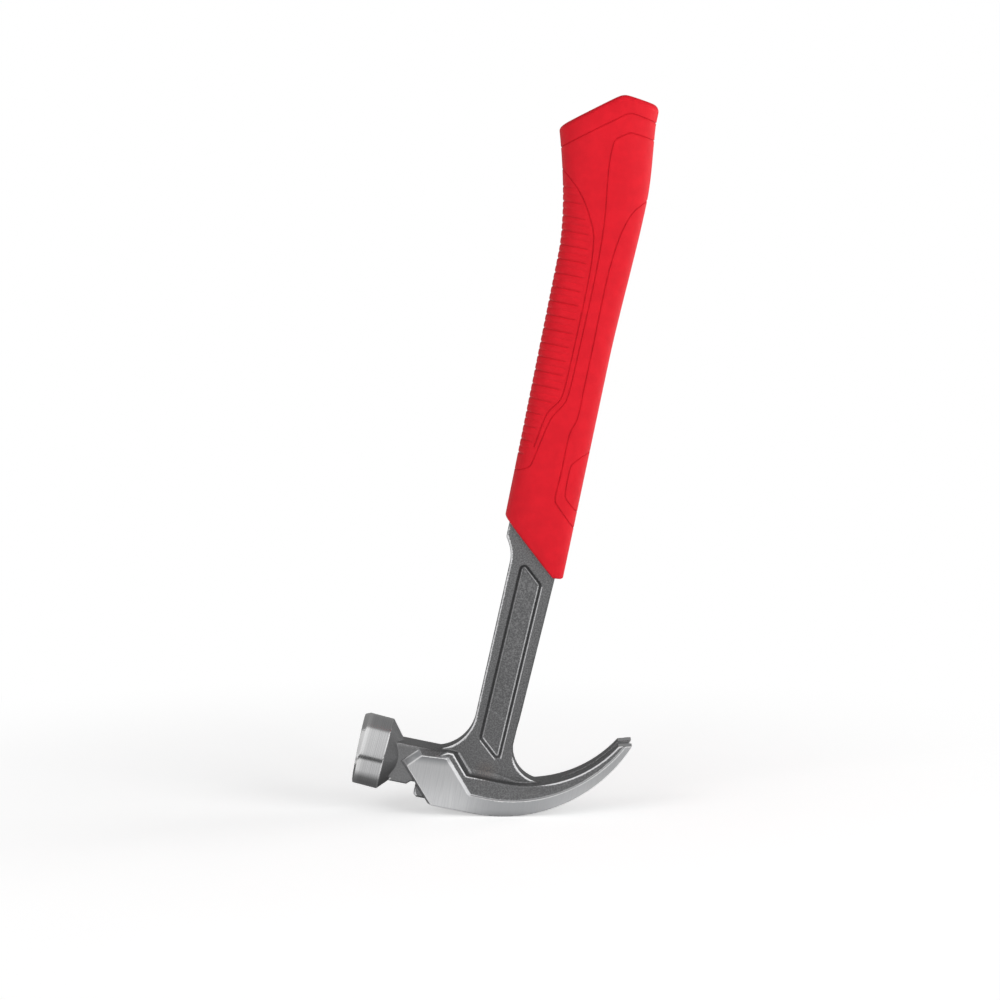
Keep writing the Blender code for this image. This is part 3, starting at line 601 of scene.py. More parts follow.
def wornAndHighlitEdges(points, normals, sharp):
    x, y, z = drawnPlaces(points)
    y = np.abs(y)
    # lean picks the edges that face forward or up, towards the light, for the painted highlight
    lean = (edgeWearAndHighlight["up"] * normals[:, 2] - normals[:, 0]) / (np.hypot(normals[:, 0], normals[:, 2]) + tiny)
    lean = ramp(lean, edgeWearAndHighlight["leanStart"], edgeWearAndHighlight["leanFull"])
    aside = ramp(np.abs(normals[:, 1]), edgeWearAndHighlight["sideStart"], edgeWearAndHighlight["sideFull"])
    onPoll = x < poll["band"] - poll["reach"]
    wornAndHighlit = np.where(onPoll, sharp, sharp * lean * aside)
    onLedge = (x > edgeWearAndHighlight["ledgeStart"]) & (z < edgeWearAndHighlight["ledgeTop"])
    onLedge &= (y > shank["half"] + claw["flankEdge"]) & (y < cheek["half"] - claw["flankStep"] / 2)
    alongClaw = ramp(x, edgeWearAndHighlight["ledgeEnd"], edgeWearAndHighlight["clawFull"])
    wornAndHighlit = np.where(onLedge, wornAndHighlit * alongClaw, wornAndHighlit)
    inSlot = (x > edgeWearAndHighlight["slotStart"]) & (y < edgeWearAndHighlight["slotHalf"]) & (z < shank["waist"] / 2)
    atFlute = (x > fluteFront(z) - 2 * flute["wall"]) & (x < fluteRear(z) + 2 * flute["wall"])
    atFlute &= (z > flute["bottom"] - 2 * flute["wall"]) & (z < flute["top"] + 2 * flute["wall"])
    return np.where(inSlot | atFlute, 0.0, wornAndHighlit)


def markEdges(mesh):  # how sharply the surface turns over at each point, kept as an attribute
    points = readRows(mesh.vertices, "co")
    normals = readRows(mesh.vertices, "normal")
    ends = readRows(mesh.edges, "vertices", 2, np.int64)
    step = points[ends[:, 1]] - points[ends[:, 0]]
    length = np.linalg.norm(step, axis=1) + tiny * mm
    turn = ((normals[ends[:, 1]] - normals[ends[:, 0]]) * step).sum(1) / length ** 2 * mm
    total = np.zeros(len(points))
    count = np.zeros(len(points))
    for side in (0, 1):
        np.add.at(total, ends[:, side], turn)
        np.add.at(count, ends[:, side], 1)
    sharp = total / np.maximum(count, 1)
    for _ in range(edgeWearAndHighlight["passes"]):  # evens out what the grid of the surface leaves uneven
        around = np.zeros(len(points))
        for side in (0, 1):
            np.add.at(around, ends[:, side], sharp[ends[:, 1 - side]])
        sharp = (sharp + around / np.maximum(count, 1)) / 2
    # the edge attribute holds wear, with a painted highlight on edges that face the light
    mark = mesh.attributes.new("edge", "FLOAT", "POINT")
    mark.data.foreach_set("value", wornAndHighlitEdges(points, normals, sharp))


def makeForging():
    forging = makePoll()
    solids = [makeNeck(), makeCheek(), makeFlank(), makeRoot()]
    solids.append(roundedPlate("shank", shankOutline(), shank["half"], shank["edge"]))
    solids.append(roundedPlate("tang", tangOutline(), tang["half"], tang["edge"]))
    tools = [combine(forging, "UNION", solid) for solid in solids]
    cutters = [makeSlot(), makeTipCut(), makeBore(), makeFlute("fluteNear", -1), makeFlute("fluteFar", 1)]
    cutters += [makeFluteStep("stepNear", -1), makeFluteStep("stepFar", 1)]
    cutters += [makeTangHole(f"tangHole{k}", height) for k, height in enumerate(tang["holes"])]
    tools += [combine(forging, "DIFFERENCE", cutter) for cutter in cutters]
    bake(forging, tools)
    softenForging(forging)
    trueUp(forging)
    markEdges(forging.data)
    forging.data.shade_smooth()
    return forging


forging = makeForging()
print("forging:", len(forging.data.polygons), "faces")


# Node trees: links and plain values, numbers and vectors

def feed(tree, source, socket):  # links a socket, or sets it to a plain value
    if isinstance(source, bpy.types.NodeSocket):
        tree.links.new(source, socket)
    else:
        socket.default_value = source


def worked(tree, kind, operation, values):
    node = tree.nodes.new(kind)
    node.operation = operation
    for socket, value in zip(node.inputs, values):
        feed(tree, value, socket)
    return node.outputs


def calc(tree, operation, *values):
    return worked(tree, "ShaderNodeMath", operation, values)["Value"]


def calcVector(tree, operation, *values):
    return worked(tree, "ShaderNodeVectorMath", operation, values)


def splitUp(tree, vector):
    node = tree.nodes.new("ShaderNodeSeparateXYZ")
    feed(tree, vector, node.inputs[0])
    return node.outputs


def spread(tree, value, low, high, start=0.0, end=1.0):  # eases from start to end between low and high
    node = tree.nodes.new("ShaderNodeMapRange")
    node.interpolation_type = "SMOOTHSTEP"
    labels = ("Value", "From Min", "From Max", "To Min", "To Max")
    for label, source in zip(labels, (value, low, high, start, end)):
        feed(tree, source, node.inputs[label])
    return node.outputs["Result"]


def newTree(name, kind, inputs, outputs):
    tree = bpy.data.node_groups.new(name, kind)
    for direction, sockets in (("INPUT", inputs), ("OUTPUT", outputs)):
        for label, socket in sockets.items():
            tree.interface.new_socket(label, in_out=direction, socket_type="NodeSocket" + socket)
    return tree, tree.nodes.new("NodeGroupInput").outputs, tree.nodes.new("NodeGroupOutput").inputs


def useTree(target, tree, values):
    modifier = target.modifiers.new(tree.name, "NODES")
    modifier.node_group = tree
    for item in tree.interface.items_tree:
        if item.item_type == "SOCKET" and item.in_out == "INPUT" and item.name in values:
            modifier[item.identifier] = values[item.name]


def endTree(tree, geometry, material, output):
    whole = tree.nodes.new("GeometryNodeRealizeInstances")
    finish = tree.nodes.new("GeometryNodeSetMaterial")
    feed(tree, geometry, whole.inputs["Geometry"])
    feed(tree, whole.outputs["Geometry"], finish.inputs["Geometry"])
    feed(tree, material, finish.inputs["Material"])
    feed(tree, finish.outputs["Geometry"], output["Geometry"])


# Grip: one moulded sleeve, ribbed in front, with fine grooves that frame its panels

def gripBottom(x):
    slanted = grip["mouthCorner"] - (x - grip["front"]) * math.tan(math.radians(grip["mouthSlant"]))
    return max(slanted, grip["toe"])


def gripTop(x):  # two slopes that meet in an eased peak
    uphill = (x - grip["buttFront"]) / (grip["buttPeak"] - grip["buttFront"])
    rising = lerp(grip["buttHeight"], grip["length"], uphill)
    falling = grip["length"] - (x - grip["buttPeak"]) * math.tan(math.radians(grip["buttFall"]))
    ease = grip["buttEase"]
    return min(rising, falling) - ease * math.log(1 + math.exp(-abs(rising - falling) / ease))


def buttShare(height):
    start = grip["buttHeight"] - grip["flareLength"]
    return min(max((height - start) / grip["flareLength"], 0.0), 1.0) ** grip["flarePower"]


def gripFront(height):
    return lerp(grip["front"], grip["buttFront"], buttShare(height))


def palmSwell(height):  # rises slowly up to its peak, then draws in towards the butt
    if height < grip["swellPeak"]:
        share = max((height - grip["swellStart"]) / (grip["swellPeak"] - grip["swellStart"]), 0.0)
        return grip["swell"] * share * share * (3 - 2 * share)
    above = min(height, grip["swellEnd"]) - grip["swellPeak"]
    return grip["swell"] * math.cos(math.pi / 2 * above / grip["swellQuarter"])


def gripRear(height):
    straight = grip["rear"] + grip["rearFlare"] * (height - grip["toe"]) / (grip["length"] - grip["toe"])
    return straight + palmSwell(height)


def gripHalf(x, height):  # a short steep lip at the mouth, then a long taper
    above = max(height - gripBottom(x), 0.0)
    if above < grip["lipLength"]:
        body = lerp(grip["mouth"], grip["lip"], above / grip["lipLength"])
    else:
        share = min((above - grip["lipLength"]) / (grip["mouthTaper"] - grip["lipLength"]), 1.0)
        body = lerp(grip["lip"], grip["thickness"], math.sin(share * math.pi / 2))
    return (body + (grip["buttThickness"] - grip["thickness"]) * buttShare(height)) / 2


def squareness(height):  # the section is rounder at the butt
    return lerp(grip["squareness"], grip["buttSquareness"], buttShare(height))


def squared(value, power):
    return math.copysign(abs(value) ** (2 / power), value)


def evenAngles(sides):  # angles that space a squared-off ring evenly along its rim
    fine = [math.pi / 2 * k / grip["rimSteps"] for k in range(grip["rimSteps"] + 1)]
    power = grip["squareness"]
    long, short = grip["rear"], grip["thickness"] / 2
    rim = [Vector((long * squared(math.cos(a), power), short * squared(math.sin(a), power))) for a in fine]
    run = np.concatenate(([0.0], np.cumsum([(b - a).length for a, b in zip(rim, rim[1:])])))
    quarter = np.interp(np.linspace(0, run[-1], sides // 4 + 1), run, fine)
    half = list(quarter) + [math.pi - a for a in quarter[-2::-1]]
    return half + [2 * math.pi - a for a in half[-2:0:-1]]


def gripRing(share, inset, angles):  # x and height depend on each other, so they settle in a few rounds
    ring = []
    for angle in angles:
        x = 0.0
        for _ in range(grip["settling"]):
            height = lerp(gripBottom(x), gripTop(x), share)
            along = squared(math.cos(angle), squareness(height))
            x = lerp(gripFront(height) + inset, gripRear(height) - inset, (1 + along) / 2)
        across = squared(math.sin(angle), squareness(height))
        ring.append(Vector((x, (gripHalf(x, height) - inset) * across, height)))
    return ring


ribs = {
    "first": 175.4, "last": 305.0, "pitch": 6.78, "depth": 0.45, "valley": 0.12, "minor": 0.55,
    "margin": 1.6, "fade": 1.2,
}


def frontShare(height):  # how far up the grip a height on its front edge is
    return (height - grip["mouthCorner"]) / (gripTop(grip["front"]) - grip["mouthCorner"])


def ringShares(first, last):  # rings stand closer where the ribs are
    length = grip["length"] - grip["toe"]
    ends = [first, frontShare(ribs["first"] - ribs["pitch"]), frontShare(ribs["last"] + ribs["pitch"]), last]
    shares = []
    for low, high, step in zip(ends, ends[1:], (grip["ringStep"], grip["ribStep"], grip["ringStep"])):
        count = round((high - low) * length / step)
        shares += [lerp(low, high, k / count) for k in range(count)]
    return shares + [last]


def makeGripBody():
    angles = evenAngles(grip["sides"])
    length = grip["length"] - grip["toe"]
    first = grip["edge"] / length
    last = 1 - grip["buttRounding"] / length
    rings = []
    for k in range(grip["mouthSteps"]):
        angle = math.pi / 2 * k / grip["mouthSteps"]
        rings.append(gripRing(first * (1 - math.cos(angle)), grip["edge"] * (1 - math.sin(angle)), angles))
    rings += [gripRing(share, 0.0, angles) for share in ringShares(first, last)]
    for k in range(1, grip["buttSteps"] + 1):
        angle = math.pi / 2 * k / grip["buttSteps"]
        inset = grip["buttRounding"] * (1 - math.cos(angle))
        rings.append(gripRing(lerp(last, 1.0, math.sin(angle)), inset, angles))
    return skin("gripSleeve", rings, acrossEnds=True)


# Groove lines in side view, from the lower end of the grip upwards. A line that ends on the front or rear
# edge of the grip carries on round it to the other side. The ribs' foot has no groove.
grooves = {
    "width": 0.75, "sides": 8, "spacing": 0.6, "fine": 0.05, "easing": 3, "cornerCut": (0.25, 0.75),
    "cut": ("ribFrame", "inner", "outer", "rearPanel", "buttBelt"),
    "ribFoot": [(-18.0, 172.6), (-14.2, 173.4), (-11.5, 175.4)],
    "ribFrame": [(-9.7, 179.8), (-8.8, 185.3), (-7.7, 193.0), (-6.4, 198.3), (-1.9, 203.8), (-1.0, 208.0),
                 (-0.5, 218.4), (0.4, 280.0), (-6.0, 294.0), (-13.4, 305.0), (-30.0, 318.0)],
    "inner": [(-18.0, 166.6), (-14.1, 167.7), (-10.7, 169.4), (-9.3, 171.1), (-8.8, 173.6), (-6.8, 184.0),
              (-5.3, 191.8), (-3.6, 196.9), (0.2, 202.3), (1.6, 207.0), (2.1, 222.5), (3.2, 284.0),
              (-1.7, 318.0), (-1.4, 329.0), (-0.6, 330.8), (5.0, 334.7), (6.2, 335.1), (24.0, 333.2)],
    "outer": [(24.0, 138.0), (6.2, 155.2), (5.0, 156.8), (5.2, 163.7), (5.6, 171.2), (5.5, 183.8),
              (5.8, 190.9), (7.9, 195.8), (8.3, 202.1), (8.1, 211.0), (8.3, 220.1), (8.4, 292.0),
              (24.0, 310.0)],
    "rearPanel": [(24.0, 147.0), (9.9, 158.4), (9.3, 161.3), (9.1, 171.6), (9.6, 176.2), (24.0, 188.5)],
    "buttBelt": [(-40.0, 310.8), (1.6, 342.9), (3.6, 343.8), (5.7, 344.0), (24.0, 341.0)],
}


def onGrip(x, height):
    return gripFront(height) < x < gripRear(height)


def sleeveSpot(x, height, side):
    front, rear = gripFront(height), gripRear(height)
    along = min(max(2 * (x - front) / (rear - front) - 1, -1.0), 1.0)
    n = squareness(height)
    y = side * gripHalf(x, height) * (1 - abs(along) ** n) ** (1 / n)
    return Vector((lerp(front, rear, (1 + along) / 2), y, height))


def easeCorners(line):
    for _ in range(grooves["easing"]):
        eased = [line[0]]
        for (x0, z0), (x1, z1) in zip(line, line[1:]):
            eased += [(lerp(x0, x1, share), lerp(z0, z1, share)) for share in grooves["cornerCut"]]
        line = eased + [line[-1]]
    return line


def insideEdges(line):  # points every fraction of a millimetre, cut off where the line leaves the grip
    fine = []
    line = easeCorners(line)
    for (x0, z0), (x1, z1) in zip(line, line[1:]):
        steps = max(2, int(math.hypot(x1 - x0, z1 - z0) / grooves["fine"]))
        fine += [(lerp(x0, x1, k / steps), lerp(z0, z1, k / steps)) for k in range(steps)]
    fine.append(line[-1])
    return [(x, z) for x, z in fine if onGrip(x, z)]


def evenPath(points):
    path = [points[0]]
    for point in points[1:]:
        if (point - path[-1]).length >= grooves["spacing"]:
            path.append(point)
    return path


def groovePaths(line):  # on both sides, each path with whether it closes on itself
    kept = insideEdges(line)
    near, far = ([sleeveSpot(x, z, side) for x, z in kept] for side in (-1, 1))
    startsOnEdge, endsOnEdge = (not onGrip(*point) for point in (line[0], line[-1]))
    if endsOnEdge:
        paths = [near + far[::-1]]
    elif startsOnEdge:
        paths = [near[::-1] + far]
    else:
        paths = [near, far]
    return [(evenPath(path), startsOnEdge and endsOnEdge) for path in paths]


def grooveCurves():
    data = bpy.data.curves.new("grooveLines", "CURVE")
    data.dimensions = "3D"
    for name in grooves["cut"]:
        for path, closed in groovePaths(grooves[name]):
            spline = data.splines.new("POLY")
            spline.points.add(len(path) - 1)
            for point, spot in zip(spline.points, path):
                point.co = (spot.x * mm + shiftX, spot.y * mm, spot.z * mm, 1)
            spline.use_cyclic_u = closed
    return addObject("grooveLines", data)


def grooveTree():  # sweeps a round tool along the lines
    sizes = {"Geometry": "Geometry", "Radius": "Float", "Material": "Material"}
    tree, given, made = newTree("groove sweep", "GeometryNodeTree", sizes, {"Geometry": "Geometry"})
    rim = tree.nodes.new("GeometryNodeCurvePrimitiveCircle")
    feed(tree, grooves["sides"], rim.inputs["Resolution"])
    feed(tree, given["Radius"], rim.inputs["Radius"])
    sweep = tree.nodes.new("GeometryNodeCurveToMesh")
    feed(tree, True, sweep.inputs["Fill Caps"])
    feed(tree, given["Geometry"], sweep.inputs["Curve"])
    feed(tree, rim.outputs["Curve"], sweep.inputs["Profile Curve"])
    endTree(tree, sweep.outputs["Mesh"], given["Material"], made)
    return tree


def ribTree():  # presses evenly pitched valleys into the masked skin, with lesser ones between
    sizes = {"Geometry": "Geometry", "First": "Float", "Pitch": "Float", "Valley": "Float", "Depth": "Float",
             "Minor": "Float", "Material": "Material"}
    tree, given, made = newTree("rib press", "GeometryNodeTree", sizes, {"Geometry": "Geometry"})
    height = splitUp(tree, tree.nodes.new("GeometryNodeInputPosition").outputs[0])["Z"]
    mask = tree.nodes.new("GeometryNodeInputNamedAttribute")
    feed(tree, "ribMask", mask.inputs["Name"])
    turns = calc(tree, "DIVIDE", calc(tree, "SUBTRACT", height, given["First"]), given["Pitch"])
    valleys = []
    for offset in (0.5, 0.0):
        offCentre = calc(tree, "FRACT", calc(tree, "ADD", turns, offset))
        offCentre = calc(tree, "ABSOLUTE", calc(tree, "SUBTRACT", offCentre, 0.5))
        slope = calc(tree, "SUBTRACT", 1.0, calc(tree, "DIVIDE", offCentre, given["Valley"]))
        valleys.append(spread(tree, slope, 0.0, 1.0))
    both = calc(tree, "MAXIMUM", valleys[0], calc(tree, "MULTIPLY", valleys[1], given["Minor"]))
    dip = calc(tree, "MULTIPLY", both, mask.outputs["Attribute"])
    keep = tree.nodes.new("GeometryNodeStoreNamedAttribute")
    feed(tree, "ribDip", keep.inputs["Name"])
    feed(tree, given["Geometry"], keep.inputs["Geometry"])
    feed(tree, dip, keep.inputs["Value"])
    push = tree.nodes.new("ShaderNodeVectorMath")
    push.operation = "SCALE"
    feed(tree, tree.nodes.new("GeometryNodeInputNormal").outputs[0], push.inputs[0])
    inwards = calc(tree, "MULTIPLY", calc(tree, "MULTIPLY", dip, given["Depth"]), -1.0)
    feed(tree, inwards, push.inputs["Scale"])
    move = tree.nodes.new("GeometryNodeSetPosition")
    feed(tree, keep.outputs["Geometry"], move.inputs["Geometry"])
    feed(tree, push.outputs["Vector"], move.inputs["Offset"])
    endTree(tree, move.outputs["Geometry"], given["Material"], made)
    return tree


def markRibPanel(mesh):  # 1 inside the framed panel, fading out before its frame
    x, _, z = drawnPlaces(readRows(mesh.vertices, "co"))
    line = np.array(insideEdges(grooves["ribFoot"] + grooves["ribFrame"]))
    order = np.argsort(line[:, 1])
    offGrip = 2 * grip["buttFront"]
    frameX = np.interp(z, line[order, 1], line[order, 0], left=offGrip, right=offGrip)
    inside = (frameX - ribs["margin"] - x) / ribs["fade"]
    low = (z - ribs["first"] + ribs["pitch"] / 2) / ribs["fade"]
    high = (ribs["last"] - z) / ribs["fade"]
    mark = mesh.attributes.new("ribMask", "FLOAT", "POINT")
    mark.data.foreach_set("value", np.clip(np.minimum(np.minimum(inside, low), high), 0, 1))


def coreOutline():
    front = tang["front"] - core["wall"]
    rear = tang["rear"] + core["wall"]
    lift = clearance / math.cos(math.radians(grip["seatSlant"]))
    top = tang["top"] + core["wall"]
    corners = [(front, seatHeight(front) + lift, 0), (rear, seatHeight(rear) + lift, 0)]
    return roundedOutline(corners + [(rear, top, core["corner"]), (front, top, core["corner"])])


def makeRooms(rubber):  # the hollows for shank and core
    shankRim = growOutline(shankOutline(), clearance)
    coreRim = growOutline(coreOutline(), clearance)
    halfCore = tang["half"] + core["sideWall"] + clearance
    rooms = [roundedPlate("shankRoom", shankRim, shank["half"] + clearance, shank["edge"]),
             roundedPlate("coreRoom", coreRim, halfCore, core["edge"])]
    for room in rooms:
        room.data.materials.append(rubber)
    return rooms


def makeSleeve(rubber, shadedGrooveRubber):
    sleeve = makeGripBody()
    markRibPanel(sleeve.data)
    useTree(sleeve, ribTree(), {
        "First": ribs["first"] * mm, "Pitch": ribs["pitch"] * mm, "Valley": ribs["valley"],
        "Depth": ribs["depth"] * mm, "Minor": ribs["minor"], "Material": rubber,
    })
    bake(sleeve)
    lines = grooveCurves()
    useTree(lines, grooveTree(), {"Radius": grooves["width"] / 2 * mm, "Material": shadedGrooveRubber})
    swept = meshOf(lines)
    bpy.data.objects.remove(lines, do_unlink=True)
    tools = [addObject("grooveTool", swept)] + makeRooms(rubber)
    for tool in tools:
        combine(sleeve, "DIFFERENCE", tool)
    for modifier in sleeve.modifiers:
        modifier.material_mode = "TRANSFER"
    bake(sleeve, tools)
    sleeve.data.shade_smooth()
    sleeve.data.set_sharp_from_angle(angle=math.radians(grip["sharpAngle"]))
    return sleeve


# Shader groups that several finishes share

grainShape = {
    "fineDetail": 3.0, "fineRoughness": 0.6, "speckle": (0.38, 0.66),
    "coarseScale": 0.08, "coarseDetail": 4.0, "coarseRoughness": 0.55, "mottle": (0.3, 0.7),
}
streakShape = {"detail": 5.0, "roughness": 0.7, "streak": (0.3, 0.7)}
wearAndHighlightShape = {"broken": 0.12, "middle": 0.5}
colourA, colourB, colourResult = 6, 7, 2  # places of the colour sockets on a Mix node


def noise(tree, vector, scale, detail, roughness):
    node = tree.nodes.new("ShaderNodeTexNoise")
    for label, source in zip(("Vector", "Scale", "Detail", "Roughness"), (vector, scale, detail, roughness)):
        feed(tree, source, node.inputs[label])
    return node.outputs["Fac"]


def mixColour(tree, share, first, second):
    node = tree.nodes.new("ShaderNodeMix")
    node.data_type = "RGBA"
    feed(tree, share, node.inputs[0])
    for place, colour in ((colourA, first), (colourB, second)):
        feed(tree, (*colour, 1.0) if isinstance(colour, tuple) else colour, node.inputs[place])
    return node.outputs[colourResult]


def grainGroup():  # fine blasted or moulded grain: coarse mottling, fine speckle and a height for bumps
    group, given, made = newTree(
        "surface grain", "ShaderNodeTree",
        {"Vector": "Vector", "Scale": "Float"}, {"Mottle": "Float", "Speckle": "Float", "Height": "Float"},
    )
    shape = grainShape
    coarseScale = calc(group, "MULTIPLY", given["Scale"], shape["coarseScale"])
    fine = noise(group, given["Vector"], given["Scale"], shape["fineDetail"], shape["fineRoughness"])
    coarse = noise(group, given["Vector"], coarseScale, shape["coarseDetail"], shape["coarseRoughness"])
    feed(group, spread(group, coarse, *shape["mottle"]), made["Mottle"])
    feed(group, spread(group, fine, *shape["speckle"]), made["Speckle"])
    feed(group, fine, made["Height"])
    return group


def streakGroup():  # long fine scratches that a belt or a lathe leaves, along the short axis of Stretch
    group, given, made = newTree(
        "tool marks", "ShaderNodeTree",
        {"Vector": "Vector", "Stretch": "Vector"}, {"Streak": "Float", "Height": "Float"},
    )
    drawn = calcVector(group, "MULTIPLY", given["Vector"], given["Stretch"])["Vector"]
    lines = noise(group, drawn, 1.0, streakShape["detail"], streakShape["roughness"])
    feed(group, spread(group, lines, *streakShape["streak"]), made["Streak"])
    feed(group, lines, made["Height"])
    return group


def wearAndHighlightGroup():  # bright worn edges with painted highlights, broken up by grain
    group, given, made = newTree(
        "edge wear", "ShaderNodeTree",
        {"Edge": "Float", "Grain": "Float", "Start": "Float", "Full": "Float"}, {"WearAndHighlight": "Float"},
    )
    offMiddle = calc(group, "SUBTRACT", given["Grain"], wearAndHighlightShape["middle"])
    broken = calc(group, "ADD", given["Edge"], calc(group, "MULTIPLY", offMiddle, wearAndHighlightShape["broken"]))
    feed(group, spread(group, broken, given["Start"], given["Full"]), made["WearAndHighlight"])
    return group


grain = grainGroup()
streaks = streakGroup()
wearAndHighlight = wearAndHighlightGroup()


def newMaterial(name, metallic):
    made = bpy.data.materials.new(name)
    made.use_nodes = True
    made.node_tree.nodes["Principled BSDF"].inputs["Metallic"].default_value = metallic
    return made, made.node_tree, made.node_tree.nodes.new("ShaderNodeTexCoord").outputs["Object"]


def addGroup(tree, group, **values):
    node = tree.nodes.new("ShaderNodeGroup")
    node.node_tree = group
    for label, value in values.items():
        feed(tree, value, node.inputs[label])
    return node.outputs


def attribute(tree, name):
    node = tree.nodes.new("ShaderNodeAttribute")
    node.attribute_name = name
    return node.outputs["Fac"]


def hypotenuse(tree, first, second):
    squares = [calc(tree, "POWER", side, 2.0) for side in (first, second)]
    return calc(tree, "SQRT", calc(tree, "ADD", *squares))


def placeNodes(tree, here):  # x, y and z in millimetres, about the origin that the pieces were drawn at
    split = splitUp(tree, here)
    x = calc(tree, "MULTIPLY_ADD", split["X"], 1 / mm, -shiftX / mm)
    return x, calc(tree, "DIVIDE", split["Y"], mm), calc(tree, "DIVIDE", split["Z"], mm)


def mottled(tree, grit, base, finish):  # clouds of the darker shade
    clouds = spread(tree, grit["Mottle"], 0.0, 1.0, 0.0, finish["mottle"])
    return mixColour(tree, clouds, base, finish["dark"])


# share of wear and painted highlight on the edges, from the edge attribute
def wearAndHighlightShare(tree, grit, finish):
    start, full = finish["wearAndHighlight"]
    edge = attribute(tree, "edge")
    return addGroup(tree, wearAndHighlight, Edge=edge, Grain=grit["Speckle"], Start=start, Full=full)["WearAndHighlight"]


def closeMaterial(made, base, detail, height, finish):  # colour, roughness and bumps reach the shader
    tree = made.node_tree
    shader = tree.nodes["Principled BSDF"]
    feed(tree, base, shader.inputs["Base Color"])
    feed(tree, spread(tree, detail, 0.0, 1.0, *finish["roughness"]), shader.inputs["Roughness"])
    strength, depth = finish["bump"]
    bumps = tree.nodes.new("ShaderNodeBump")
    feed(tree, strength, bumps.inputs["Strength"])
    feed(tree, depth * mm, bumps.inputs["Distance"])
    feed(tree, height, bumps.inputs["Height"])
    feed(tree, bumps.outputs["Normal"], shader.inputs["Normal"])
    return made


# Painted highlight lines are given by how far they reach to the right of their run, and by how bright they
# are
forgedFinish = {
    "dark": (0.165, 0.166, 0.169), "light": (0.272, 0.272, 0.275), "wornAndHighlit": (0.9, 0.9, 0.91),
    "scale": 1500.0, "mottle": 0.2, "wearAndHighlight": (0.14, 0.36), "roughness": (0.58, 0.44), "bump": (0.4, 0.1),
    "brown": (0.24, 0.16, 0.11), "brownAt": (-1.5, 20.8), "brownReach": 7.0, "brownShare": 0.4,
    "neckFade": (-26.0, -38.0), "neckShare": 0.8,
    "edgeLine": (0.28, 0.8), "edgeLow": 45.0, "edge": 1.0, "crestLine": (-1.3, -0.3), "crest": 0.4,
    "rimLine": (-1.8, -1.2), "footLine": (0.0, 0.5), "footDepth": 4.4,
    "longRun": 0.9, "shortRun": 0.8, "frontFoot": 0.3, "lineSoft": 0.25, "lineEnd": 0.8, "lineGrain": 0.7,
}


def paintedHighlightLines():  # painted highlights: straight runs on the edges and at the flute's foot: both ends, reach and brightness
    rearLow, rearHigh, peak, frontHigh, frontLow = fluteCorners()
    low, high = ((shankFront(height), height) for height in (forgedFinish["edgeLow"], shank["waist"]))
    crestTop = (ledge["top"] + ledge["draft"], neck["top"])
    crestFoot = (ledge["front"] + ledge["draft"], ledge["height"])
    foot, rim = forgedFinish["footLine"], forgedFinish["rimLine"]
    onEdge = [
        (low, high, forgedFinish["edgeLine"], forgedFinish["edge"]),
        (rearHigh, rearLow, rim, forgedFinish["longRun"]),
        (rearLow, frontLow, rim, forgedFinish["shortRun"]),
        (crestTop, crestFoot, forgedFinish["crestLine"], forgedFinish["crest"]),
    ]
    onFoot = [
        (rearHigh, rearLow, foot, forgedFinish["longRun"]),
        (peak, rearHigh, foot, forgedFinish["shortRun"]),
        (rearLow, frontLow, foot, forgedFinish["shortRun"]),
        (frontLow, frontHigh, foot, forgedFinish["frontFoot"]),
    ]
    return onEdge, onFoot


def besideLine(tree, x, z, start, end):  # how far to the right of a line a point lies, from start to end
    along = (Vector(end) - Vector(start)).normalized()
    aside = calc(tree, "MULTIPLY_ADD", x, along.y, start[1] * along.x - start[0] * along.y)
    return calc(tree, "MULTIPLY_ADD", z, -along.x, aside)


def alongLine(tree, x, z, start, end):  # how far on from its start
    along = (Vector(end) - Vector(start)).normalized()
    run = calc(tree, "MULTIPLY_ADD", x, along.x, -start[0] * along.x - start[1] * along.y)
    return calc(tree, "MULTIPLY_ADD", z, along.y, run)


def paintLines(tree, x, z, lines):
    drawn = 0.0
    soft = forgedFinish["lineSoft"]
    fade = forgedFinish["lineEnd"]
    for start, end, (near, far), share in lines:
        length = (Vector(end) - Vector(start)).length
        aside = besideLine(tree, x, z, start, end)
        run = alongLine(tree, x, z, start, end)
        edges = spread(tree, aside, near, near + soft), spread(tree, aside, far + soft, far)
        ends = spread(tree, run, 0.0, fade), spread(tree, run, length, length - fade, 0.0, share)
        line = calc(tree, "MULTIPLY", calc(tree, "MULTIPLY", *edges), calc(tree, "MULTIPLY", *ends))
        drawn = calc(tree, "MAXIMUM", line, drawn)
    return drawn


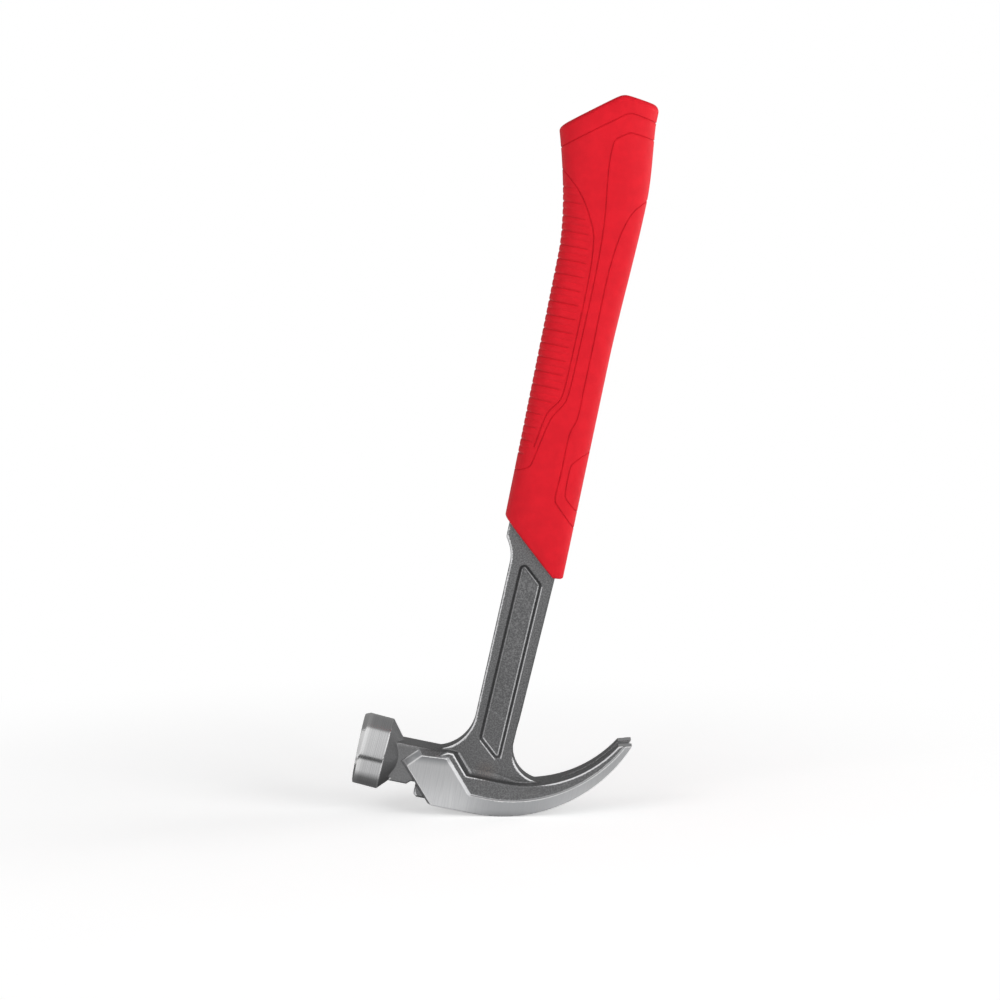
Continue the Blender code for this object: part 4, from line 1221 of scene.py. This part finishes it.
def makeForgedSteel():
    made, tree, here = newMaterial("forgedSteel", 1.0)
    grit = addGroup(tree, grain, Vector=here, Scale=forgedFinish["scale"])
    x, y, z = placeNodes(tree, here)
    base = mixColour(tree, grit["Speckle"], forgedFinish["dark"], forgedFinish["light"])
    base = mottled(tree, grit, base, forgedFinish)
    onNeck = spread(tree, x, *forgedFinish["neckFade"], 0.0, forgedFinish["neckShare"])
    base = mixColour(tree, onNeck, base, forgedFinish["light"])  # the neck is lighter towards the poll
    brownX, brownZ = forgedFinish["brownAt"]  # a faint brown bloom above the ledge
    away = hypotenuse(tree, calc(tree, "SUBTRACT", x, brownX), calc(tree, "SUBTRACT", z, brownZ))
    bloom = spread(tree, away, 0.0, forgedFinish["brownReach"], forgedFinish["brownShare"], 0.0)
    base = mixColour(tree, calc(tree, "MULTIPLY", bloom, grit["Speckle"]), base, forgedFinish["brown"])
    # painted highlight lines along the shank's front edge, the flute's rim and foot, and the ledge's crest
    onEdge, onFoot = (paintLines(tree, x, z, lines) for lines in paintedHighlightLines())
    deep = calc(tree, "LESS_THAN", calc(tree, "ABSOLUTE", y), forgedFinish["footDepth"])
    lines = calc(tree, "MAXIMUM", onEdge, calc(tree, "MULTIPLY", onFoot, deep))
    uneven = spread(tree, grit["Speckle"], 0.0, 1.0, forgedFinish["lineGrain"], 1.0)
    lines = calc(tree, "MULTIPLY", lines, uneven)
    # wear and painted highlights lift the base towards the bright colour
    wornAndHighlit = calc(tree, "MAXIMUM", wearAndHighlightShare(tree, grit, forgedFinish), lines)
    base = mixColour(tree, wornAndHighlit, base, forgedFinish["wornAndHighlit"])
    return closeMaterial(made, base, grit["Speckle"], grit["Height"], forgedFinish)


groundFinish = {
    "dark": (0.67, 0.675, 0.685), "light": (0.8, 0.802, 0.81), "wornAndHighlit": (0.9, 0.9, 0.9),
    "band": (0.33, 0.336, 0.348), "stretch": (4200.0, 4200.0, 70.0), "scale": 900.0, "mottle": 0.12,
    "wearAndHighlight": (0.2, 0.6), "roughness": (0.38, 0.3), "bump": (0.15, 0.03),
    "bandFade": (-17.5, 8.5), "bandShare": 0.75, "tipFade": (18.5, 52.5), "tipShare": 0.35,
    "bevel": (-3.0, -0.4), "bevelShare": 0.6, "bevelEdges": ((-0.6, 0.0), (-3.6, -2.8)), "bevelEdge": 0.7,
    "topReach": 4.5, "topShare": 0.95,
}


def makeGroundSteel():
    made, tree, here = newMaterial("groundSteel", 1.0)
    marks = addGroup(tree, streaks, Vector=here, Stretch=groundFinish["stretch"])
    grit = addGroup(tree, grain, Vector=here, Scale=groundFinish["scale"])
    x, _, z = placeNodes(tree, here)
    base = mixColour(tree, marks["Streak"], groundFinish["dark"], groundFinish["light"])
    onClaw = spread(tree, x, *groundFinish["bandFade"], 0.0, groundFinish["bandShare"])
    toTip = spread(tree, x, *groundFinish["tipFade"], 1.0, groundFinish["tipShare"])
    base = mixColour(tree, calc(tree, "MULTIPLY", onClaw, toTip), base, groundFinish["band"])
    bevel = (cheek["front"], cheek["topFront"])  # painted shade: the front bevel is darker between its painted bright edges
    paintedShade = paintLines(tree, x, z, [(*bevel, groundFinish["bevel"], groundFinish["bevelShare"])])
    edges = [(*bevel, reach, groundFinish["bevelEdge"]) for reach in groundFinish["bevelEdges"]]
    underTop = besideLine(tree, x, z, cheek["topFront"], cheek["topRear"])  # painted shade on the top of the flat as well
    underTop = spread(tree, underTop, 0.0, groundFinish["topReach"], groundFinish["topShare"], 0.0)
    topEnd = cheek["topRear"][0]
    upToEnd = spread(tree, x, topEnd, topEnd + groundFinish["topReach"], 1.0, 0.0)
    paintedShade = calc(tree, "MAXIMUM", paintedShade, calc(tree, "MULTIPLY", underTop, upToEnd))
    base = mixColour(tree, paintedShade, base, groundFinish["band"])
    # painted highlights on the front bevel's two edges
    base = mixColour(tree, paintLines(tree, x, z, edges), base, groundFinish["wornAndHighlit"])
    base = mottled(tree, grit, base, groundFinish)
    # wear and painted highlights on the edges
    base = mixColour(tree, wearAndHighlightShare(tree, grit, groundFinish), base, groundFinish["wornAndHighlit"])
    return closeMaterial(made, base, marks["Streak"], marks["Height"], groundFinish)


turnedFinish = {
    "dark": (0.46, 0.46, 0.465), "light": (0.6, 0.6, 0.605), "wornAndHighlit": (0.8, 0.8, 0.8),
    "stretch": (3000.0, 3000.0, 0.0), "scale": 1200.0, "mottle": 0.15, "wearAndHighlight": (0.2, 0.6),
    "roughness": (0.2, 0.13), "bump": (0.2, 0.04), "faceFade": (2.0, 5.0), "faceShare": 0.8,
}


def makeTurnedSteel():  # rings run round the poll, so the marks follow the way along its axis and out from it
    made, tree, here = newMaterial("turnedSteel", 1.0)
    upright = math.radians(-poll["lean"])
    lay = tree.nodes.new("ShaderNodeMapping")
    lay.vector_type = "POINT"
    feed(tree, (0, upright, 0), lay.inputs["Rotation"])
    feed(tree, here, lay.inputs["Vector"])
    split = splitUp(tree, lay.outputs["Vector"])
    face = Matrix.Rotation(upright, 3, "Y") @ (pollFace * mm + Vector((shiftX, 0, 0)))
    outwards = hypotenuse(tree, calc(tree, "SUBTRACT", split["Z"], face.z), split["Y"])
    onPoll = tree.nodes.new("ShaderNodeCombineXYZ")
    feed(tree, split["X"], onPoll.inputs["X"])
    feed(tree, outwards, onPoll.inputs["Y"])
    marks = addGroup(tree, streaks, Vector=onPoll.outputs["Vector"], Stretch=turnedFinish["stretch"])
    grit = addGroup(tree, grain, Vector=here, Scale=turnedFinish["scale"])
    base = mixColour(tree, marks["Streak"], turnedFinish["dark"], turnedFinish["light"])
    base = mottled(tree, grit, base, turnedFinish)
    byFace = [face.x + reach * mm for reach in turnedFinish["faceFade"]]  # painted highlight: brighter beside the face
    byFace = spread(tree, split["X"], *byFace, turnedFinish["faceShare"], 0.0)
    base = mixColour(tree, byFace, base, turnedFinish["wornAndHighlit"])
    base = mixColour(tree, wearAndHighlightShare(tree, grit, turnedFinish), base, turnedFinish["wornAndHighlit"])
    return closeMaterial(made, base, marks["Streak"], marks["Height"], turnedFinish)


rubberFinish = {
    "plain": (0.74, 0.0085, 0.0205), "cloud": (0.68, 0.007, 0.018), "scale": 2400.0,
    "roughness": (0.5, 0.64), "bump": (0.25, 0.06), "specular": 0.26,
    "valley": (0.46, 0.004, 0.011), "valleyStart": 0.4, "valleyShare": 0.6,
}
# the grooves' rubber is painted darker: painted shade inside the grooves
grooveShadeFinish = {
    "plain": (0.66, 0.0075, 0.019), "cloud": (0.56, 0.006, 0.016), "scale": 2400.0,
    "roughness": (0.58, 0.72), "bump": (0.25, 0.06), "specular": 0.26,
}
nylonFinish = {
    "plain": (0.022, 0.022, 0.024), "cloud": (0.04, 0.04, 0.042), "scale": 1600.0,
    "roughness": (0.48, 0.62), "bump": (0.25, 0.06), "specular": 0.5,
}


def makeMoulded(name, finish):
    made, tree, here = newMaterial(name, 0.0)
    grit = addGroup(tree, grain, Vector=here, Scale=finish["scale"])
    base = mixColour(tree, grit["Mottle"], finish["plain"], finish["cloud"])
    if "valley" in finish:  # painted shade: darker between the ribs
        dip = spread(tree, attribute(tree, "ribDip"), finish["valleyStart"], 1.0, 0.0, finish["valleyShare"])
        base = mixColour(tree, dip, base, finish["valley"])
    tree.nodes["Principled BSDF"].inputs["Specular IOR Level"].default_value = finish["specular"]
    return closeMaterial(made, base, grit["Speckle"], grit["Height"], finish)


nickelFinish = {
    "dark": (0.5, 0.48, 0.44), "light": (0.72, 0.7, 0.66), "stretch": (1800.0, 120.0, 1800.0),
    "roughness": (0.32, 0.2), "bump": (0.15, 0.03),
}


def makeNickel():
    made, tree, here = newMaterial("magnetNickel", 1.0)
    marks = addGroup(tree, streaks, Vector=here, Stretch=nickelFinish["stretch"])
    base = mixColour(tree, marks["Streak"], nickelFinish["dark"], nickelFinish["light"])
    return closeMaterial(made, base, marks["Streak"], marks["Height"], nickelFinish)


# Where the shop's finishes lie: how deep a ground skin reaches, and which way a face looks
zones = {
    "skin": 0.35, "crownPast": 1.0, "bellClear": 1.5, "flatSkin": 0.1, "headTop": 60.0,
    "bevelForward": -0.25, "tipDepth": 3.0, "tipUp": 0.9, "turnedPast": 0.1,
}


def finishForging(forging):  # every face gets the finish that the shop left on it
    mesh = forging.data
    for made in (makeForgedSteel(), makeGroundSteel(), makeTurnedSteel()):
        mesh.materials.append(made)
    normals = readRows(mesh.polygons, "normal")
    x, y, z = drawnPlaces(readRows(mesh.polygons, "center"))
    y = np.abs(y)
    along = (np.stack((x, y, z), 1) - np.array(pollFace)) @ np.array(pollAxis)
    outerX, outerZ = outerCentre()
    onBack = (x > outerX) & (np.hypot(x - outerX, z - outerZ) > claw["outer"] - zones["skin"])
    onCrown = (z < zones["skin"]) & (x > cheek["crownFront"]) & (x < cheek["crownRear"] + zones["crownPast"])
    behindBell = x > cheek["front"][0] - zones["bellClear"] * cheek["frontBevel"]
    onFlat = (y > cheek["half"] - claw["flankStep"] + zones["flatSkin"]) & behindBell & (z < zones["headTop"])
    onBevel = (y > neck["width"] / 2 + zones["skin"]) & behindBell & (x < cheek["topRear"][0])
    onBevel &= normals[:, 0] < zones["bevelForward"]
    onTip = (z > claw["tip"] - zones["tipDepth"]) & (z < zones["headTop"]) & (normals[:, 2] > zones["tipUp"])
    finish = np.zeros(len(mesh.polygons), dtype=np.int32)
    finish[onBack | onCrown | onFlat | onBevel | onTip] = 1
    finish[along < poll["band"] + zones["turnedPast"]] = 2
    mesh.polygons.foreach_set("material_index", finish)


finishForging(forging)
sleeve = makeSleeve(makeMoulded("redRubber", rubberFinish), makeMoulded("shadedGrooveRubber", grooveShadeFinish))
print("sleeve:", len(sleeve.data.polygons), "faces")

for node, finish in (("nail_magnet", makeNickel()), ("grip_core", makeMoulded("coreNylon", nylonFinish))):
    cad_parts[node].data.materials.clear()
    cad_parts[node].data.materials.append(finish)

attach(forging, "root")
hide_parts("forged_body")
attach(sleeve, "root")
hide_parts("grip_sleeve")
print("pieces dressed")


# Camera, at the photograph's angle
camera = {
    "x": -21.0, "distance": 1400.0, "z": 285.5, "pitch": 5.5, "roll": 11.43,
    "focal": 2914.0, "frame": 1000.0, "sensor": 36.0, "clipEnd": 20.0,
}


def makeCamera():
    data = bpy.data.cameras.new("camera")
    data.sensor_width = camera["sensor"]
    data.lens = camera["focal"] / camera["frame"] * data.sensor_width
    data.clip_end = camera["clipEnd"]
    made = addObject("camera", data)
    upright = Matrix.Rotation(math.radians(90 - camera["pitch"]), 4, "X")
    rolled = Matrix.Rotation(math.radians(camera["roll"]), 4, "Z")
    spot = Matrix.Translation((camera["x"] * mm, -camera["distance"] * mm, camera["z"] * mm))
    made.matrix_world = spot @ upright @ rolled
    scene.camera = made


# Stage: a pale floor that is level in the picture, under the heel of the claw. In reflections it is a glowing
# card with painted reflections:
# painted shade that falls dark under the hammer, and one painted dark gap round it. Each pair is a distance
# and a brightness.
stage = {
    "size": 6.0, "fadeStart": 0.12, "fadeEnd": 0.45, "glow": 0.44, "scale": 300.0,
    "light": (0.95, 0.95, 0.95), "dark": (0.9405, 0.9405, 0.9405), "cardSide": 0.15,
    "card": [(0.0, 0.15), (0.012, 0.22), (0.026, 0.82), (0.076, 0.9), (0.088, 0.12), (0.17, 0.12),
             (0.195, 0.92), (0.3, 0.92)],
}


def mixShaders(tree, share, first, second):
    node = tree.nodes.new("ShaderNodeMixShader")
    for socket, source in zip(node.inputs, (share, first.outputs[0], second.outputs[0])):
        feed(tree, source, socket)
    return node


def paintedReflectionCard(tree, here):
    split = splitUp(tree, here)
    shades = tree.nodes.new("ShaderNodeValToRGB")
    stops = shades.color_ramp.elements
    depth = stage["card"][-1][0]
    for distance, _ in stage["card"][1:-1]:
        stops.new(distance / depth)
    for stop, (_, brightness) in zip(stops, stage["card"]):
        stop.color = (brightness, brightness, brightness, 1)
    ahead = calc(tree, "MULTIPLY", split["Y"], -1.0)
    aside = calc(tree, "SUBTRACT", calc(tree, "ABSOLUTE", split["X"]), stage["cardSide"])
    feed(tree, calc(tree, "DIVIDE", calc(tree, "MAXIMUM", ahead, aside), depth), shades.inputs["Fac"])
    return shades.outputs["Color"]


def makePaleFloor():
    made = bpy.data.materials.new("paleFloor")
    made.use_nodes = True
    tree = made.node_tree
    tree.nodes.remove(tree.nodes["Principled BSDF"])
    here = tree.nodes.new("ShaderNodeTexCoord").outputs["Object"]
    rays = tree.nodes.new("ShaderNodeLightPath").outputs
    grit = addGroup(tree, grain, Vector=here, Scale=stage["scale"])
    matt = tree.nodes.new("ShaderNodeBsdfDiffuse")
    feed(tree, mixColour(tree, grit["Mottle"], stage["light"], stage["dark"]), matt.inputs["Color"])
    lift = tree.nodes.new("ShaderNodeEmission")  # lifts the lit floor to white, its shadow stays
    feed(tree, calc(tree, "MULTIPLY", rays["Is Camera Ray"], stage["glow"]), lift.inputs["Strength"])
    lit = tree.nodes.new("ShaderNodeAddShader")
    feed(tree, matt.outputs[0], lit.inputs[0])
    feed(tree, lift.outputs[0], lit.inputs[1])
    reach = calcVector(tree, "LENGTH", here)["Value"]
    fade = spread(tree, reach, stage["fadeStart"], stage["fadeEnd"])
    fade = calc(tree, "MULTIPLY", fade, rays["Is Camera Ray"])
    far = mixShaders(tree, fade, lit, tree.nodes.new("ShaderNodeEmission"))
    # in reflections the floor is a glowing card: a painted reflection with painted shade and a painted dark
    # gap
    card = tree.nodes.new("ShaderNodeEmission")
    feed(tree, paintedReflectionCard(tree, here), card.inputs["Strength"])
    whole = mixShaders(tree, rays["Is Glossy Ray"], far, card)
    feed(tree, whole.outputs[0], tree.nodes["Material Output"].inputs["Surface"])
    return made


def makeFloor():
    lean = math.radians(camera["roll"])
    touch = Vector(outerCentre()) + Vector((math.sin(lean), -math.cos(lean))) * claw["outer"]
    under = Matrix.Translation((touch.x * mm + shiftX, 0, touch.y * mm))
    bm = bmesh.new()
    bmesh.ops.create_grid(bm, x_segments=1, y_segments=1, size=stage["size"] / 2)
    bm.transform(under @ Matrix.Rotation(-lean, 4, "Y"))
    mesh = bpy.data.meshes.new("floor")
    bm.to_mesh(mesh)
    bm.free()
    floor = addObject("floor", mesh)
    floor.data.materials.append(makePaleFloor())


lamps = {
    "key": {"at": (1.3, -1.3, 0.9), "size": 1.2, "power": 19.0},
    "fill": {"at": (-1.2, -1.5, 0.6), "size": 1.2, "power": 13.0},
    "rim": {"at": (1.4, 0.6, 0.5), "size": 0.8, "power": 12.0},
}
lampAim = Vector((0.0, 0.0, 0.12))
studio = {
    "ambient": 0.4, "walls": 0.95, "toRight": 0.25, "ceiling": 0.31, "ceilingLean": 40.0,
    "ceilingReach": 60.0, "ceilingFull": 50.0,
}


def makeLamps():
    for name, lamp in lamps.items():
        data = bpy.data.lights.new(name, "AREA")
        data.size = lamp["size"]
        data.energy = lamp["power"]
        made = addObject(name, data)
        made.visible_glossy = False
        spot = Vector(lamp["at"])
        aimed = (lampAim - spot).to_track_quat("-Z", "Y").to_matrix().to_4x4()
        made.matrix_world = Matrix.Translation(spot) @ aimed


def makeWorld():  # white walls, a little brighter on the right, under a dark ceiling that leans back
    world = bpy.data.worlds.new("studio")
    world.use_nodes = True
    tree = world.node_tree
    sky = tree.nodes["Background"]
    sky.inputs["Color"].default_value = (1, 1, 1, 1)
    way = tree.nodes.new("ShaderNodeTexCoord").outputs["Generated"]
    right, up, front = (scene.camera.matrix_world.col[axis].xyz for axis in range(3))
    lean = math.radians(studio["ceilingLean"])
    overhead = up * math.cos(lean) - front * math.sin(lean)
    toRight, toCeiling = (calcVector(tree, "DOT_PRODUCT", way, axis)["Value"] for axis in (right, overhead))
    low, high = (math.cos(math.radians(studio[name])) for name in ("ceilingReach", "ceilingFull"))
    dome = spread(tree, toCeiling, low, high, 1.0, studio["ceiling"])
    walls = calc(tree, "ADD", calc(tree, "MULTIPLY", toRight, studio["toRight"]), studio["walls"])
    rays = tree.nodes.new("ShaderNodeLightPath").outputs
    mirror = spread(tree, rays["Is Glossy Ray"], 0.0, 1.0, studio["ambient"], 1.0)
    light = calc(tree, "MULTIPLY", calc(tree, "MULTIPLY", dome, walls), mirror)
    seen = calc(tree, "MAXIMUM", rays["Is Camera Ray"], rays["Is Transmission Ray"])
    hidden = calc(tree, "SUBTRACT", 1.0, seen)
    feed(tree, calc(tree, "ADD", seen, calc(tree, "MULTIPLY", hidden, light)), sky.inputs["Strength"])
    scene.world = world


makeCamera()
makeFloor()
makeLamps()
makeWorld()
scene.view_settings.view_transform = "Standard"
print("stage set")
